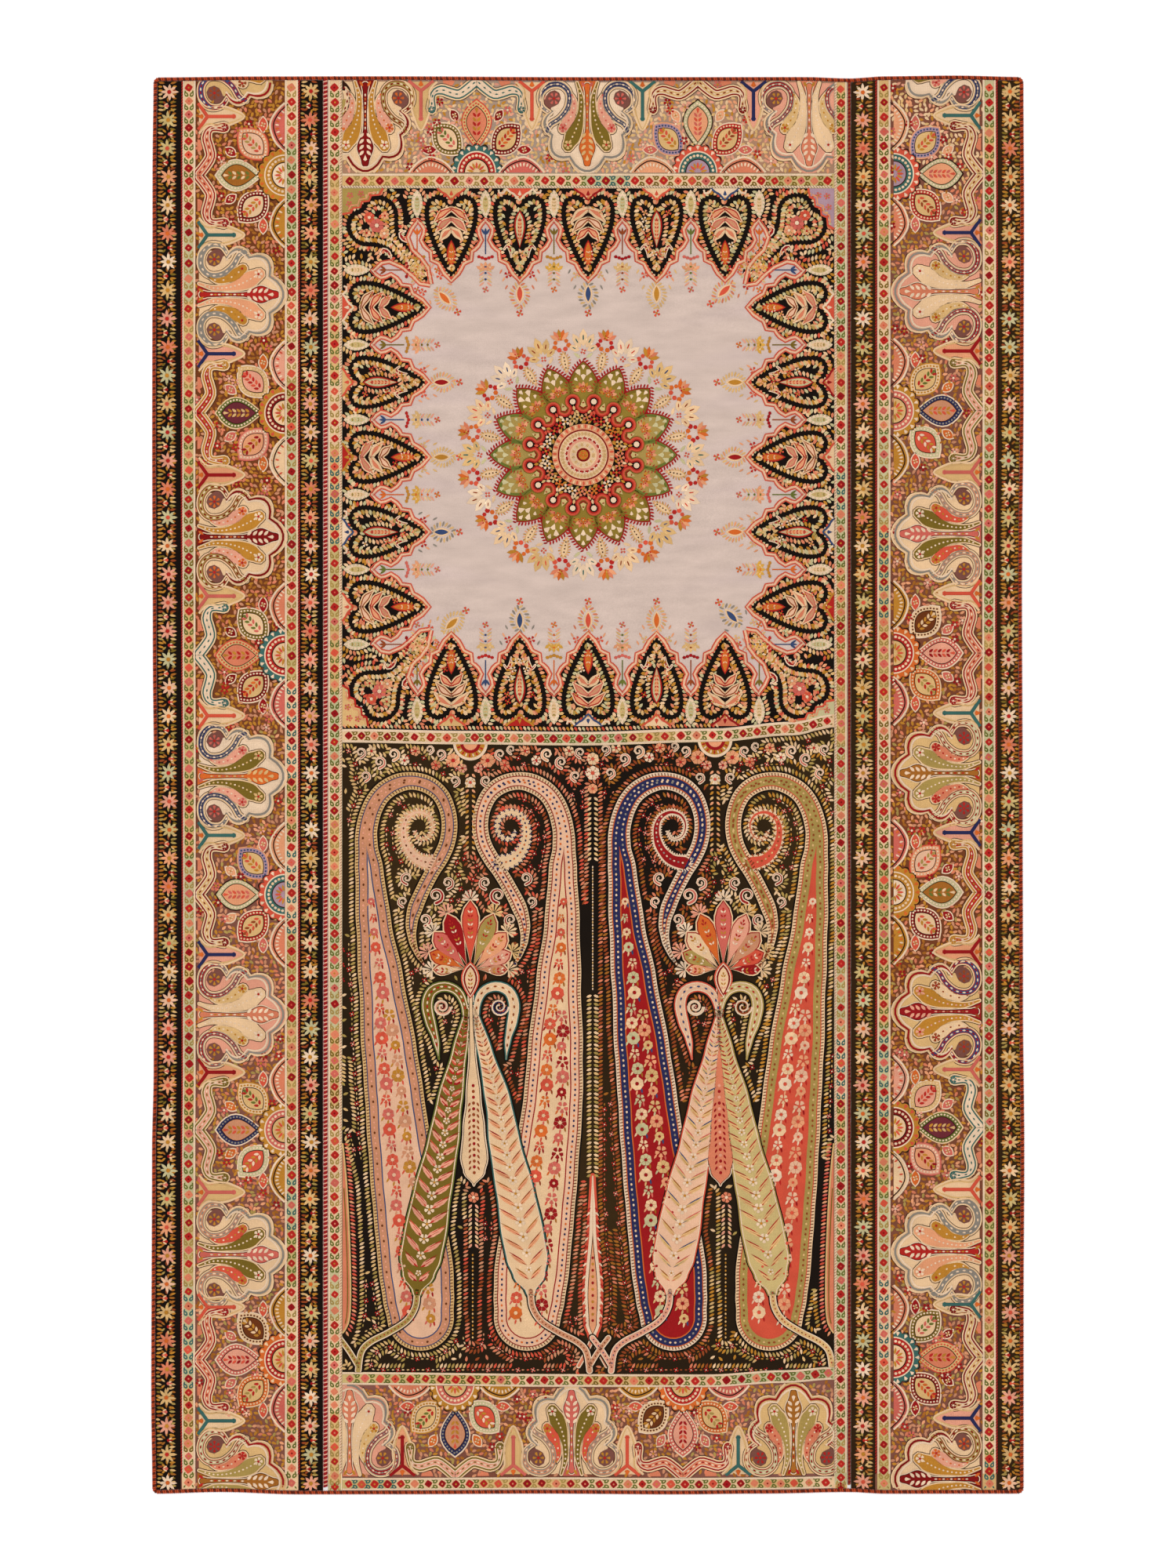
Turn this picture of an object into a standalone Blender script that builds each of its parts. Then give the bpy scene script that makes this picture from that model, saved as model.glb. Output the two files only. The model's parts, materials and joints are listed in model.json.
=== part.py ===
"""Needlework rug: embroidered wool cloths and bands sewn edge to edge, lying flat.

The rug lies on the plane z = 0 with its back down. X runs across it and Y along it,
and the end with the two rows of hanging leaf pairs is at +Y. The origin is under its middle.
All lengths are in metres.
"""
import math

import bmesh
import bpy

# Size of the whole rug, over its overcast edge at the widest and longest places.
RUG_WIDTH = 1.372
RUG_LENGTH = 2.229
CORNER_RADIUS = 0.009
GAP = 0.0003  # between neighbouring pieces

# Cloth, edge and seams.
CLOTH_THICKNESS = 0.0026
BINDING_WIDTH = 0.0065
BINDING_HEIGHT = 0.0046
SEAM_HEIGHT = 0.0044

# Lines across the rug, measured from its left side.
LEFT_SEAM = (0.2705, 0.2779)
RIGHT_SEAM = (1.0938, 1.0992)
FIELD_LEFT = 0.3002
FIELD_RIGHT = 1.0730

# Lines down the middle column, measured from the top end.
TOP_BAND = (0.1545, 0.1776)
BOTTOM_BAND_TOP = 2.2017
MIDDLE_BAND_WIDTH = 0.0210
LOW_BAND_WIDTH = 0.0202

# Middle lines of the two bands that wander: share of the way across, distance from the top.
MIDDLE_BAND_LINE = ((0.0, 1.0374), (0.26, 1.0404), (0.48, 1.0420), (0.74, 1.0367), (0.90, 1.0262),
                    (1.0, 1.0133))
LOW_BAND_LINE = ((0.0, 2.0465), (0.48, 2.0496), (0.74, 2.0502), (0.90, 2.0434), (1.0, 2.0383))

# How far each side draws in from the straight box: share along the side, distance drawn in.
# Left and right run from the top down, top and bottom from the left to the right.
LEFT_DRAW = ((0.0, 0.0036), (0.07, 0.0020), (0.26, 0.0014), (0.40, 0.0024), (0.50, 0.0042),
             (0.70, 0.0038), (0.76, 0.0012), (0.93, 0.0), (1.0, 0.0018))
RIGHT_DRAW = ((0.0, 0.0015), (0.10, 0.0005), (0.22, 0.0012), (0.36, 0.0037), (0.50, 0.0027),
              (0.65, 0.0021), (0.76, 0.0), (0.87, 0.0012), (1.0, 0.0012))
TOP_DRAW = ((0.0, 0.0029), (0.12, 0.0014), (0.25, 0.0011), (0.50, 0.0024), (0.75, 0.0023),
            (0.80, 0.0046), (0.84, 0.0012), (0.92, 0.0), (1.0, 0.0023))
BOTTOM_DRAW = ((0.0, 0.0010), (0.08, 0.0037), (0.17, 0.0), (0.28, 0.0002), (0.45, 0.0012),
               (0.60, 0.0), (0.70, 0.0012), (0.80, 0.0037), (0.84, 0.0010), (1.0, 0.0012))

# Fineness of the outlines.
SIDE_STEP = 0.060
CORNER_STEPS = 5
PROFILE_STEPS = 8
PROFILE_FULLNESS = 0.62  # 1 is an ellipse, less is squarer

# Wool colours as sRGB hex, with the roughness of worsted wool.
WOOL_ROUGHNESS = 0.85
WOOL = {
    "border_wool": "#A98A62",
    "end_wool": "#A08C78",
    "medallion_wool": "#8C7460",
    "paisley_wool": "#6E5A3C",
    "band_wool": "#D8CCA4",
    "seam_wool": "#B4453A",
    "binding_wool": "#B44A2C",
}


def smooth_between(stations, share):
    """Reads a table of (share, value) with an even slope at each station."""
    if share <= stations[0][0]:
        return stations[0][1]
    for (start, low), (end, high) in zip(stations, stations[1:]):
        if share <= end:
            part = (share - start) / (end - start)
            return low + (high - low) * (0.5 - 0.5 * math.cos(math.pi * part))
    return stations[-1][1]


def left_edge(y):
    return -RUG_WIDTH / 2 + smooth_between(LEFT_DRAW, 0.5 - y / RUG_LENGTH)


def right_edge(y):
    return RUG_WIDTH / 2 - smooth_between(RIGHT_DRAW, 0.5 - y / RUG_LENGTH)


def top_edge(x):
    return RUG_LENGTH / 2 - smooth_between(TOP_DRAW, 0.5 + x / RUG_WIDTH)


def bottom_edge(x):
    return -RUG_LENGTH / 2 + smooth_between(BOTTOM_DRAW, 0.5 + x / RUG_WIDTH)


def across(distance):
    """Turns a distance from the left side into x."""
    return distance - RUG_WIDTH / 2


def down(distance):
    """Turns a distance from the top end into y."""
    return RUG_LENGTH / 2 - distance


def steps(start, end, spacing=SIDE_STEP):
    """Even values from start to end, both included."""
    count = max(1, round(abs(end - start) / spacing))
    return [start + (end - start) * index / count for index in range(count + 1)]


def corner(centre, radius, start_degrees):
    """A quarter turn, anticlockwise, without its two end points."""
    points = []
    for index in range(1, CORNER_STEPS):
        angle = math.radians(start_degrees + 90.0 * index / CORNER_STEPS)
        points.append((centre[0] + radius * math.cos(angle), centre[1] + radius * math.sin(angle)))
    return points


def corner_centre(side_edge, end_edge, side_sign, end_sign):
    """Centre of the round corner where a side and an end meet."""
    end_y = end_edge(side_sign * (RUG_WIDTH / 2 - CORNER_RADIUS))
    centre_y = end_y - end_sign * CORNER_RADIUS
    centre_x = side_edge(centre_y) - side_sign * CORNER_RADIUS
    return centre_x, centre_y


def rug_outline(inset):
    """The rug's closed edge line, anticlockwise from the lower right corner, moved in by inset."""
    radius = CORNER_RADIUS - inset
    low_right = corner_centre(right_edge, bottom_edge, 1, -1)
    high_right = corner_centre(right_edge, top_edge, 1, 1)
    high_left = corner_centre(left_edge, top_edge, -1, 1)
    low_left = corner_centre(left_edge, bottom_edge, -1, -1)
    line = [(right_edge(y) - inset, y) for y in steps(low_right[1], high_right[1])]
    line += corner(high_right, radius, 0)
    line += [(x, top_edge(x) - inset) for x in steps(high_right[0], high_left[0])]
    line += corner(high_left, radius, 90)
    line += [(left_edge(y) + inset, y) for y in steps(high_left[1], low_left[1])]
    line += corner(low_left, radius, 180)
    line += [(x, bottom_edge(x) + inset) for x in steps(low_left[0], low_right[0])]
    line += corner(low_right, radius, 270)
    return line


def linear(hex_colour):
    """sRGB hex to linear RGBA."""
    channels = []
    for index in (1, 3, 5):
        value = int(hex_colour[index:index + 2], 16) / 255
        channels.append(value / 12.92 if value <= 0.04045 else ((value + 0.055) / 1.055) ** 2.4)
    return (*channels, 1.0)


def wool_material(name):
    material = bpy.data.materials.new(name)
    material.use_nodes = True
    shader = material.node_tree.nodes["Principled BSDF"]
    shader.inputs["Base Color"].default_value = linear(WOOL[name])
    shader.inputs["Roughness"].default_value = WOOL_ROUGHNESS
    shader.inputs["Metallic"].default_value = 0.0
    return material


def add_object(name, mesh, material_name):
    mesh.materials.append(wool_material(material_name))
    piece = bpy.data.objects.new(name, mesh)
    bpy.context.scene.collection.objects.link(piece)
    return piece


def add_cloth(name, outline, material_name):
    """A flat sheet: its outline is filled at z = 0 and extruded up to the cloth's thickness."""
    shape = bmesh.new()
    corners = [shape.verts.new((x, y, 0.0)) for x, y in outline]
    floor = shape.faces.new(corners)
    raised = bmesh.ops.extrude_face_region(shape, geom=[floor])
    lifted = [item for item in raised["geom"] if isinstance(item, bmesh.types.BMVert)]
    bmesh.ops.translate(shape, verts=lifted, vec=(0.0, 0.0, CLOTH_THICKNESS))
    bmesh.ops.recalc_face_normals(shape, faces=shape.faces)
    mesh = bpy.data.meshes.new(name)
    shape.to_mesh(mesh)
    shape.free()
    return add_object(name, mesh, material_name)


def cord_profile(width, height):
    """Half section of a sewn cord: (distance from its outer side, height), flat underneath."""
    points = []
    for index in range(PROFILE_STEPS + 1):
        angle = math.pi * index / PROFILE_STEPS
        side = math.copysign(abs(math.cos(angle)) ** PROFILE_FULLNESS, math.cos(angle))
        rise = math.sin(angle) ** PROFILE_FULLNESS if 0 < index < PROFILE_STEPS else 0.0
        points.append((width / 2 * (1 - side), height * rise))
    return points


def bridge_rings(shape, rings, closed):
    """Joins rings of points into one closed body. Open runs get a flat cap at each end."""
    rows = [[shape.verts.new(point) for point in ring] for ring in rings]
    pairs = list(zip(rows, rows[1:]))
    if closed:
        pairs.append((rows[-1], rows[0]))
    for near, far in pairs:
        for index in range(len(near)):
            after = (index + 1) % len(near)
            shape.faces.new((near[index], near[after], far[after], far[index]))
    if not closed:
        shape.faces.new(rows[0])
        shape.faces.new(rows[-1])
    bmesh.ops.recalc_face_normals(shape, faces=shape.faces)


def add_binding():
    """The overcast edge: one section carried round the whole outline."""
    lines = [(rug_outline(inset), height) for inset, height in cord_profile(BINDING_WIDTH, BINDING_HEIGHT)]
    rings = []
    for index in range(len(lines[0][0])):
        rings.append([(*line[index], height) for line, height in lines])
    shape = bmesh.new()
    bridge_rings(shape, rings, closed=True)
    mesh = bpy.data.meshes.new("edge_binding")
    shape.to_mesh(mesh)
    shape.free()
    mesh.shade_smooth()
    mesh.set_sharp_from_angle(angle=math.radians(50))
    return add_object("edge_binding", mesh, "binding_wool")


def add_seam_cord(name, sides):
    """The raised whipped join between two cloths, from one end binding to the other."""
    left, right = across(sides[0]), across(sides[1])
    middle = (left + right) / 2
    clear = BINDING_WIDTH + GAP
    profile = cord_profile(right - left, SEAM_HEIGHT)
    rings = []
    for y in steps(top_edge(middle) - clear - GAP, bottom_edge(middle) + clear + GAP):
        rings.append([(left + offset, y, height) for offset, height in profile])
    shape = bmesh.new()
    bridge_rings(shape, rings, closed=False)
    mesh = bpy.data.meshes.new(name)
    shape.to_mesh(mesh)
    shape.free()
    mesh.shade_smooth()
    mesh.set_sharp_from_angle(angle=math.radians(50))
    return add_object(name, mesh, "seam_wool")


def run_beyond(edge, inner, side_sign):
    """The stretch of the closed edge line that lies outside x = inner, in the line's own order."""
    beyond = [side_sign * (point[0] - inner) > GAP for point in edge]
    start = next(index for index in range(len(edge)) if beyond[index] and not beyond[index - 1])
    ordered = edge[start:] + edge[:start]
    return [point for point in ordered if side_sign * (point[0] - inner) > GAP]


def add_side_panels():
    """The two long border cloths, with the rug's round corners on their outer side."""
    clear = BINDING_WIDTH + GAP
    edge = rug_outline(clear)
    left_inner = across(LEFT_SEAM[0]) - GAP
    right_inner = across(RIGHT_SEAM[1]) + GAP
    left_outline = [(left_inner, top_edge(left_inner) - clear)]
    left_outline += run_beyond(edge, left_inner, -1)
    left_outline.append((left_inner, bottom_edge(left_inner) + clear))
    right_outline = [(right_inner, bottom_edge(right_inner) + clear)]
    right_outline += run_beyond(edge, right_inner, 1)
    right_outline.append((right_inner, top_edge(right_inner) - clear))
    add_cloth("border_panel_left", left_outline, "border_wool")
    add_cloth("border_panel_right", right_outline, "border_wool")


def line_across(stations, offset):
    """A wandering line across the middle column, from left to right."""
    left, right = across(FIELD_LEFT), across(FIELD_RIGHT)
    points = []
    for x in steps(left, right, SIDE_STEP / 2):
        share = (x - left) / (right - left)
        points.append((x, down(smooth_between(stations, share) + offset)))
    return points


def straight_across(distance):
    return [(across(FIELD_LEFT), down(distance)), (across(FIELD_RIGHT), down(distance))]


def end_across(end_edge, inset):
    """The line just inside the binding at one end of the middle column."""
    return [(x, end_edge(x) + inset) for x in steps(across(FIELD_LEFT), across(FIELD_RIGHT))]


def add_middle_column():
    """End borders, the two fields and the light bands between them, from the top down."""
    clear = BINDING_WIDTH + GAP
    half_middle = MIDDLE_BAND_WIDTH / 2
    half_low = LOW_BAND_WIDTH / 2
    courses = (
        ("end_border_top", "end_wool", end_across(top_edge, -clear), straight_across(TOP_BAND[0] - GAP)),
        ("band_top", "band_wool", straight_across(TOP_BAND[0]), straight_across(TOP_BAND[1])),
        ("field_medallion", "medallion_wool", straight_across(TOP_BAND[1] + GAP),
         line_across(MIDDLE_BAND_LINE, -half_middle - GAP)),
        ("band_middle", "band_wool", line_across(MIDDLE_BAND_LINE, -half_middle),
         line_across(MIDDLE_BAND_LINE, half_middle)),
        ("field_paisley", "paisley_wool", line_across(MIDDLE_BAND_LINE, half_middle + GAP),
         line_across(LOW_BAND_LINE, -half_low - GAP)),
        ("band_low", "band_wool", line_across(LOW_BAND_LINE, -half_low),
         line_across(LOW_BAND_LINE, half_low)),
        ("end_border_bottom", "end_wool", line_across(LOW_BAND_LINE, half_low + GAP),
         straight_across(BOTTOM_BAND_TOP - GAP)),
        ("band_bottom", "band_wool", straight_across(BOTTOM_BAND_TOP), end_across(bottom_edge, clear)),
    )
    for name, material_name, upper, lower in courses:
        add_cloth(name, upper[::-1] + lower, material_name)


def add_side_bands():
    """The light bands that run the rug's whole length beside the middle column."""
    clear = BINDING_WIDTH + GAP
    places = (
        ("band_left", across(LEFT_SEAM[1]) + GAP, across(FIELD_LEFT) - GAP),
        ("band_right", across(FIELD_RIGHT) + GAP, across(RIGHT_SEAM[0]) - GAP),
    )
    for name, left, right in places:
        outline = [(right, top_edge(right) - clear), (left, top_edge(left) - clear)]
        outline += [(left, bottom_edge(left) + clear), (right, bottom_edge(right) + clear)]
        add_cloth(name, outline, "band_wool")


def main():
    for item in list(bpy.data.objects):
        bpy.data.objects.remove(item)
    add_side_panels()
    add_middle_column()
    add_side_bands()
    add_seam_cord("seam_cord_left", LEFT_SEAM)
    add_seam_cord("seam_cord_right", RIGHT_SEAM)
    add_binding()


main()
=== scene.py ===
import bpy
import bmesh
import math
import random
import numpy as np
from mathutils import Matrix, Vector
from mathutils.geometry import tessellate_polygon
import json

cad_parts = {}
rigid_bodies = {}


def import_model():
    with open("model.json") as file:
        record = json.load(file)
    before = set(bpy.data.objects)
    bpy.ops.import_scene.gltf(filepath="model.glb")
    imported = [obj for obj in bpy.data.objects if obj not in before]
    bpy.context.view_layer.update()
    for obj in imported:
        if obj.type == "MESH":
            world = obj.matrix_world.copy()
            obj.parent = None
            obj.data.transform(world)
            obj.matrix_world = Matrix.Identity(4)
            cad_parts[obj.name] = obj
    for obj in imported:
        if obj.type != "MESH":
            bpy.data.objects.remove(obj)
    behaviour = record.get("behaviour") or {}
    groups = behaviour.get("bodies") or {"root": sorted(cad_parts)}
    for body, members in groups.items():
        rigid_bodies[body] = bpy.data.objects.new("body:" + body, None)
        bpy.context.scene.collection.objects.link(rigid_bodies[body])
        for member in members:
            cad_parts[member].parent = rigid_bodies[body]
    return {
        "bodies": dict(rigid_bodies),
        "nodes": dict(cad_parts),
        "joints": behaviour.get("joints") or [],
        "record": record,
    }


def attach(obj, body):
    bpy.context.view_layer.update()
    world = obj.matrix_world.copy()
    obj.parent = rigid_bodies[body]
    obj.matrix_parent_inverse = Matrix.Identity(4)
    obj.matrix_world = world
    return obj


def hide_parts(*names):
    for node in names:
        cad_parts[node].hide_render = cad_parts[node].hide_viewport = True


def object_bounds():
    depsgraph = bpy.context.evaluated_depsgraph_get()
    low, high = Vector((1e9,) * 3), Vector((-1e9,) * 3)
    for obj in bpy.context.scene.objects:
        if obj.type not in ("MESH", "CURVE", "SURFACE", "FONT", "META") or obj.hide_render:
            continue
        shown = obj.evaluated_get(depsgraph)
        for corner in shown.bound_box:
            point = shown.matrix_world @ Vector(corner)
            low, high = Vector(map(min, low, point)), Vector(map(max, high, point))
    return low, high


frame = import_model()
cadLow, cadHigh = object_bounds()
print("frame loaded,", len(frame["nodes"]), "nodes")
rng = random.Random(11)

# The needlework is planned on a draft sheet: x runs from the left and y down from the top.
draft = {
    "width": 1114.2,  # the rug's width in draft units
    "left": 192.6,  # draft place of the rug's upper left corner
    "top": 96.2,
    "sheetWidth": 1500,  # the whole draft sheet, with its margins
    "sheetHeight": 2000,
    "bindingWidth": 5.5,
    "edgeFade": 60.0,  # how far in from a side its wandering still shows
}
unit = (cadHigh.x - cadLow.x) / draft["width"]
draft["height"] = (cadHigh.y - cadLow.y) / unit

# How far each side draws in from the straight box, in metres: share along the side, distance.
edgeDraw = {
    "left": ((0.0, 0.0036), (0.07, 0.0020), (0.26, 0.0014), (0.40, 0.0024), (0.50, 0.0042),
             (0.70, 0.0038), (0.76, 0.0012), (0.93, 0.0), (1.0, 0.0018)),
    "right": ((0.0, 0.0015), (0.10, 0.0005), (0.22, 0.0012), (0.36, 0.0037), (0.50, 0.0027),
              (0.65, 0.0021), (0.76, 0.0), (0.87, 0.0012), (1.0, 0.0012)),
    "top": ((0.0, 0.0029), (0.12, 0.0014), (0.25, 0.0011), (0.50, 0.0024), (0.75, 0.0023),
            (0.80, 0.0046), (0.84, 0.0012), (0.92, 0.0), (1.0, 0.0023)),
    "bottom": ((0.0, 0.0010), (0.08, 0.0037), (0.17, 0.0), (0.28, 0.0002), (0.45, 0.0012),
               (0.60, 0.0), (0.70, 0.0012), (0.80, 0.0037), (0.84, 0.0010), (1.0, 0.0012)),
}

# Middle lines of the two bands that wander, in draft units.
bandLine = {
    "middle": ((436.5, 938.6), (602, 941.0), (742, 942.3), (908, 938.0), (1010, 929.5), (1064, 919.0)),
    "low": ((436.5, 1758.0), (738, 1760.5), (901, 1761.0), (1001, 1755.5), (1064, 1751.3)),
}


def easeTable(stations, count=240):
    # a short table made into a smooth line of many stations
    places, values = zip(*stations)
    spots = np.linspace(places[0], places[-1], count)
    index = np.clip(np.searchsorted(places, spots, side="right") - 1, 0, len(places) - 2)
    starts, ends = np.array(places)[index], np.array(places)[index + 1]
    part = 0.5 - 0.5 * np.cos(np.pi * (spots - starts) / (ends - starts))
    lows, highs = np.array(values)[index], np.array(values)[index + 1]
    return spots, lows + (highs - lows) * part


edgeTable = {side: easeTable(stations) for side, stations in edgeDraw.items()}
lineTable = {name: easeTable(stations) for name, stations in bandLine.items()}
meanDraw = {side: float(values.mean()) for side, (spots, values) in edgeTable.items()}


def bandY(name, x):
    return float(np.interp(x, *lineTable[name]))


relief = {
    "swell": 0.00022,  # slow rise and fall of the cloth lying on the floor, in metres
    "sheetBottom": 0.00015,
    "sheetTop": 0.0017,
    "levelStep": 0.00016,  # height between two layers of stitches
    "lineCrown": 0.34,  # rise of a stitched line for each unit of its width
}


def swellAt(x, y):
    return relief["swell"] * (2 + np.sin(x / 61 + y / 210) * np.cos(y / 87) + np.sin(y / 47 - x / 173))


def placePoints(points):
    # draft x, draft y and height in metres become places in the frame, in metres
    x, y, height = np.asarray(points, dtype=float).reshape(-1, 3).T
    farX, farY = draft["left"] + draft["width"], draft["top"] + draft["height"]
    across, along = (x - draft["left"]) / draft["width"], (y - draft["top"]) / draft["height"]
    fade = draft["edgeFade"]
    shift = {}
    for side, share, depth in (("left", along, x - draft["left"]), ("right", along, farX - x),
                               ("top", across, y - draft["top"]), ("bottom", across, farY - y)):
        strength = np.clip(1 - (depth - 8) / fade, 0, 1)
        shift[side] = (np.interp(share, *edgeTable[side]) - meanDraw[side]) * strength
    placed = np.empty((len(x), 3))
    placed[:, 0] = cadLow.x + (x - draft["left"]) * unit + shift["left"] - shift["right"]
    placed[:, 1] = cadHigh.y - (y - draft["top"]) * unit - shift["top"] + shift["bottom"]
    placed[:, 2] = height + swellAt(x, y)
    return placed


# Wool dyes, as they look in daylight.
dyeHex = {
    "black": "#150D06", "oliveBlack": "#33240C", "brownBlack": "#351B0E", "brown": "#6E3C18", "rust": "#9C5028",
    "ivory": "#F8ECCF", "cream": "#F4DFB4", "straw": "#E4CA8C", "mint": "#CFD6A8", "paleGreen": "#D4CB8C",
    "red": "#BC2C26", "crimson": "#A01A1E", "deepRed": "#861412", "coral": "#DE6048", "salmon": "#E2906E",
    "pink": "#EEB49A", "rose": "#D87468", "peach": "#F0B488", "orange": "#DE7632", "gold": "#C69436",
    "yellow": "#E2BA52", "golden": "#AC742C", "tan": "#D4A07C", "olive": "#807228", "sage": "#B2A45C",
    "leaf": "#6E8038", "teal": "#3F7672", "blue": "#3A5484", "navy": "#2A3162", "greyBlue": "#949890",
    "mauve": "#80574E", "umber": "#6C3A1C", "taupe": "#A4795A", "lilac": "#B3A0B4", "plum": "#70303C", "field": "#C9BAB0",
    "blush": "#F2D2B2", "moss": "#988A38", "binding": "#C25028", "bindingDark": "#6A2410",
}


def linearOf(hexColour):
    channels = [int(hexColour[i:i + 2], 16) / 255 for i in (1, 3, 5)]
    return tuple(c / 12.92 if c <= 0.04045 else ((c + 0.055) / 1.055) ** 2.4 for c in channels)


dyes = {name: linearOf(value) for name, value in dyeHex.items()}


def dyeOf(name, wander=0.0):
    # one dye lot, a little lighter or darker from stitch to stitch
    strength = 1 + rng.uniform(-wander, wander)
    return tuple(min(1.0, channel * strength) for channel in dyes[name]) + (1.0,)


# Shapes on the draft.
def curveThrough(points, step=4.0, closed=False):
    # a smooth line through given points, sampled evenly enough for stitches
    count = len(points)
    line = []
    for i in range(count if closed else count - 1):
        if closed:
            a, b, c, d = (points[(i + k) % count] for k in (-1, 0, 1, 2))
        else:
            a, b, c, d = points[max(i - 1, 0)], points[i], points[i + 1], points[min(i + 2, count - 1)]
        pieces = max(1, round(math.dist(b, c) / step))
        for j in range(pieces):
            t = j / pieces
            line.append(tuple(
                0.5 * (2 * b[k] + (c[k] - a[k]) * t + (2 * a[k] - 5 * b[k] + 4 * c[k] - d[k]) * t * t
                       + (3 * b[k] - a[k] - 3 * c[k] + d[k]) * t ** 3) for k in (0, 1)))
    if not closed:
        line.append(tuple(points[-1]))
    return line


def evenSteps(line, pitch, start=0.0, closed=False):
    # places (x, y, direction) at an even pitch along a line
    spots, reach = [], start
    travelled = 0.0
    ends = line + [line[0]] if closed else line
    for (x0, y0), (x1, y1) in zip(ends, ends[1:]):
        length = math.hypot(x1 - x0, y1 - y0)
        while length > 0 and reach <= travelled + length:
            t = (reach - travelled) / length
            spots.append((x0 + (x1 - x0) * t, y0 + (y1 - y0) * t, math.atan2(y1 - y0, x1 - x0)))
            reach += pitch
        travelled += length
    return spots


def smoothWidth(stations, share):
    for (s0, w0), (s1, w1) in zip(stations, stations[1:]):
        if share <= s1:
            t = (share - s0) / (s1 - s0)
            return w0 + (w1 - w0) * t * t * (3 - 2 * t)
    return stations[-1][1]


def limbShape(centre, widths, trim=0.0, step=4.0):
    # a stem, band or leaf pair of changing width round a middle line, with round ends
    line = curveThrough(centre, step)
    lengths = [0.0]
    for a, b in zip(line, line[1:]):
        lengths.append(lengths[-1] + math.dist(a, b))
    left, right = [], []
    for i, (x, y) in enumerate(line):
        xa, ya = line[max(i - 1, 0)]
        xb, yb = line[min(i + 1, len(line) - 1)]
        size = math.hypot(xb - xa, yb - ya) or 1.0
        nx, ny = -(yb - ya) / size, (xb - xa) / size
        half = max(smoothWidth(widths, lengths[i] / lengths[-1]) / 2 - trim, 0.15)
        left.append((x + nx * half, y + ny * half))
        right.append((x - nx * half, y - ny * half))

    def cap(end, before, half):
        angle = math.atan2(end[1] - before[1], end[0] - before[0])
        turns = max(2, round(half / 2.2) if half > 8 else (5 if half > 2 else 2))
        return [(end[0] + half * math.cos(angle + math.pi / 2 - math.pi * k / turns),
                 end[1] + half * math.sin(angle + math.pi / 2 - math.pi * k / turns)) for k in range(1, turns)]

    endHalf = max(widths[-1][1] / 2 - trim, 0.15)
    startHalf = max(widths[0][1] / 2 - trim, 0.15)
    return left + cap(line[-1], line[-2], endHalf) + right[::-1] + cap(line[0], line[1], startHalf)


def leafShape(base, tip, width, belly=0.45, trim=0.0, count=7):
    # a leaf with both ends pointed, widest at belly along its length
    dx, dy = tip[0] - base[0], tip[1] - base[1]
    length = math.hypot(dx, dy)
    ux, uy = dx / length, dy / length
    power = math.log(0.5) / math.log(belly)
    sides = [[], []]
    for i in range(count + 1):
        t = i / count
        half = max(width / 2 - trim, 0.2) * math.sin(math.pi * t ** power) ** 0.8 if 0 < i < count else 0.0
        along = trim * 1.3 + t * (length - 2.6 * trim)
        for side, sign in ((0, 1), (1, -1)):
            sides[side].append((base[0] + ux * along - uy * half * sign, base[1] + uy * along + ux * half * sign))
    return sides[0] + sides[1][-2:0:-1]


def discShape(x, y, radius, start=0.0, end=360.0, step=5.0):
    count = max(7, round(abs(end - start) / 360 * 2 * math.pi * radius / step))
    full = abs(end - start) >= 360
    turns = [math.radians(start + (end - start) * i / count) for i in range(count + (0 if full else 1))]
    return [(x + radius * math.cos(t), y + radius * math.sin(t)) for t in turns]


def scallopLine(cusps, bulge=0.4, pieces=6):
    # round lobes between cusps, swelling to the left of the way they are listed
    line = []
    for (x0, y0), (x1, y1) in zip(cusps, cusps[1:]):
        for i in range(pieces):
            t = i / pieces
            rise = bulge * math.sin(math.pi * t) ** 0.75
            line.append((x0 + (x1 - x0) * t + (y1 - y0) * rise, y0 + (y1 - y0) * t - (x1 - x0) * rise))
    line.append(cusps[-1])
    return line


def moved(points, x=0.0, y=0.0, turn=0.0, size=1.0, flip=False):
    cosine, sine = math.cos(turn) * size, math.sin(turn) * size
    sign = -1 if flip else 1
    return [(x + px * sign * cosine - py * sine, y + px * sign * sine + py * cosine) for px, py in points]


# One cloth's needlework is gathered here before it becomes meshes.
stitchKinds = ("leaf", "dot", "bar", "blossom", "loop", "drop")


def newWork(name, left, right, top, bottom):
    work = {"name": name, "left": left, "right": right, "fills": [], "rows": [], "stitches": []}
    work["top"] = top if callable(top) else lambda x: top
    work["bottom"] = bottom if callable(bottom) else lambda x: bottom
    work["taken"] = np.zeros((draft["sheetHeight"] // 2, draft["sheetWidth"] // 2), bool)
    return work


def isInside(work, x, y, margin=0.0):
    if not work["left"] + margin <= x <= work["right"] - margin:
        return False
    return work["top"](x) + margin <= y <= work["bottom"](x) - margin


def markTaken(work, shape):
    # remembers on a coarse grid where a motif lies, so that small leaves keep off it
    xs, ys = np.array(shape).T / 2
    x0, x1 = max(int(xs.min()), 0), min(int(xs.max()) + 2, work["taken"].shape[1])
    y0, y1 = max(int(ys.min()), 0), min(int(ys.max()) + 2, work["taken"].shape[0])
    if x1 <= x0 or y1 <= y0:
        return
    gx, gy = np.meshgrid(np.arange(x0, x1) + 0.25, np.arange(y0, y1) + 0.25)
    odd = np.zeros(gx.shape, bool)
    for xa, ya, xb, yb in zip(xs, ys, np.roll(xs, -1), np.roll(ys, -1)):
        if ya != yb:
            crosses = (gy < ya) != (gy < yb)
            odd ^= crosses & (gx < xa + (gy - ya) * (xb - xa) / (yb - ya))
    work["taken"][y0:y1, x0:x1] |= odd


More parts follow.
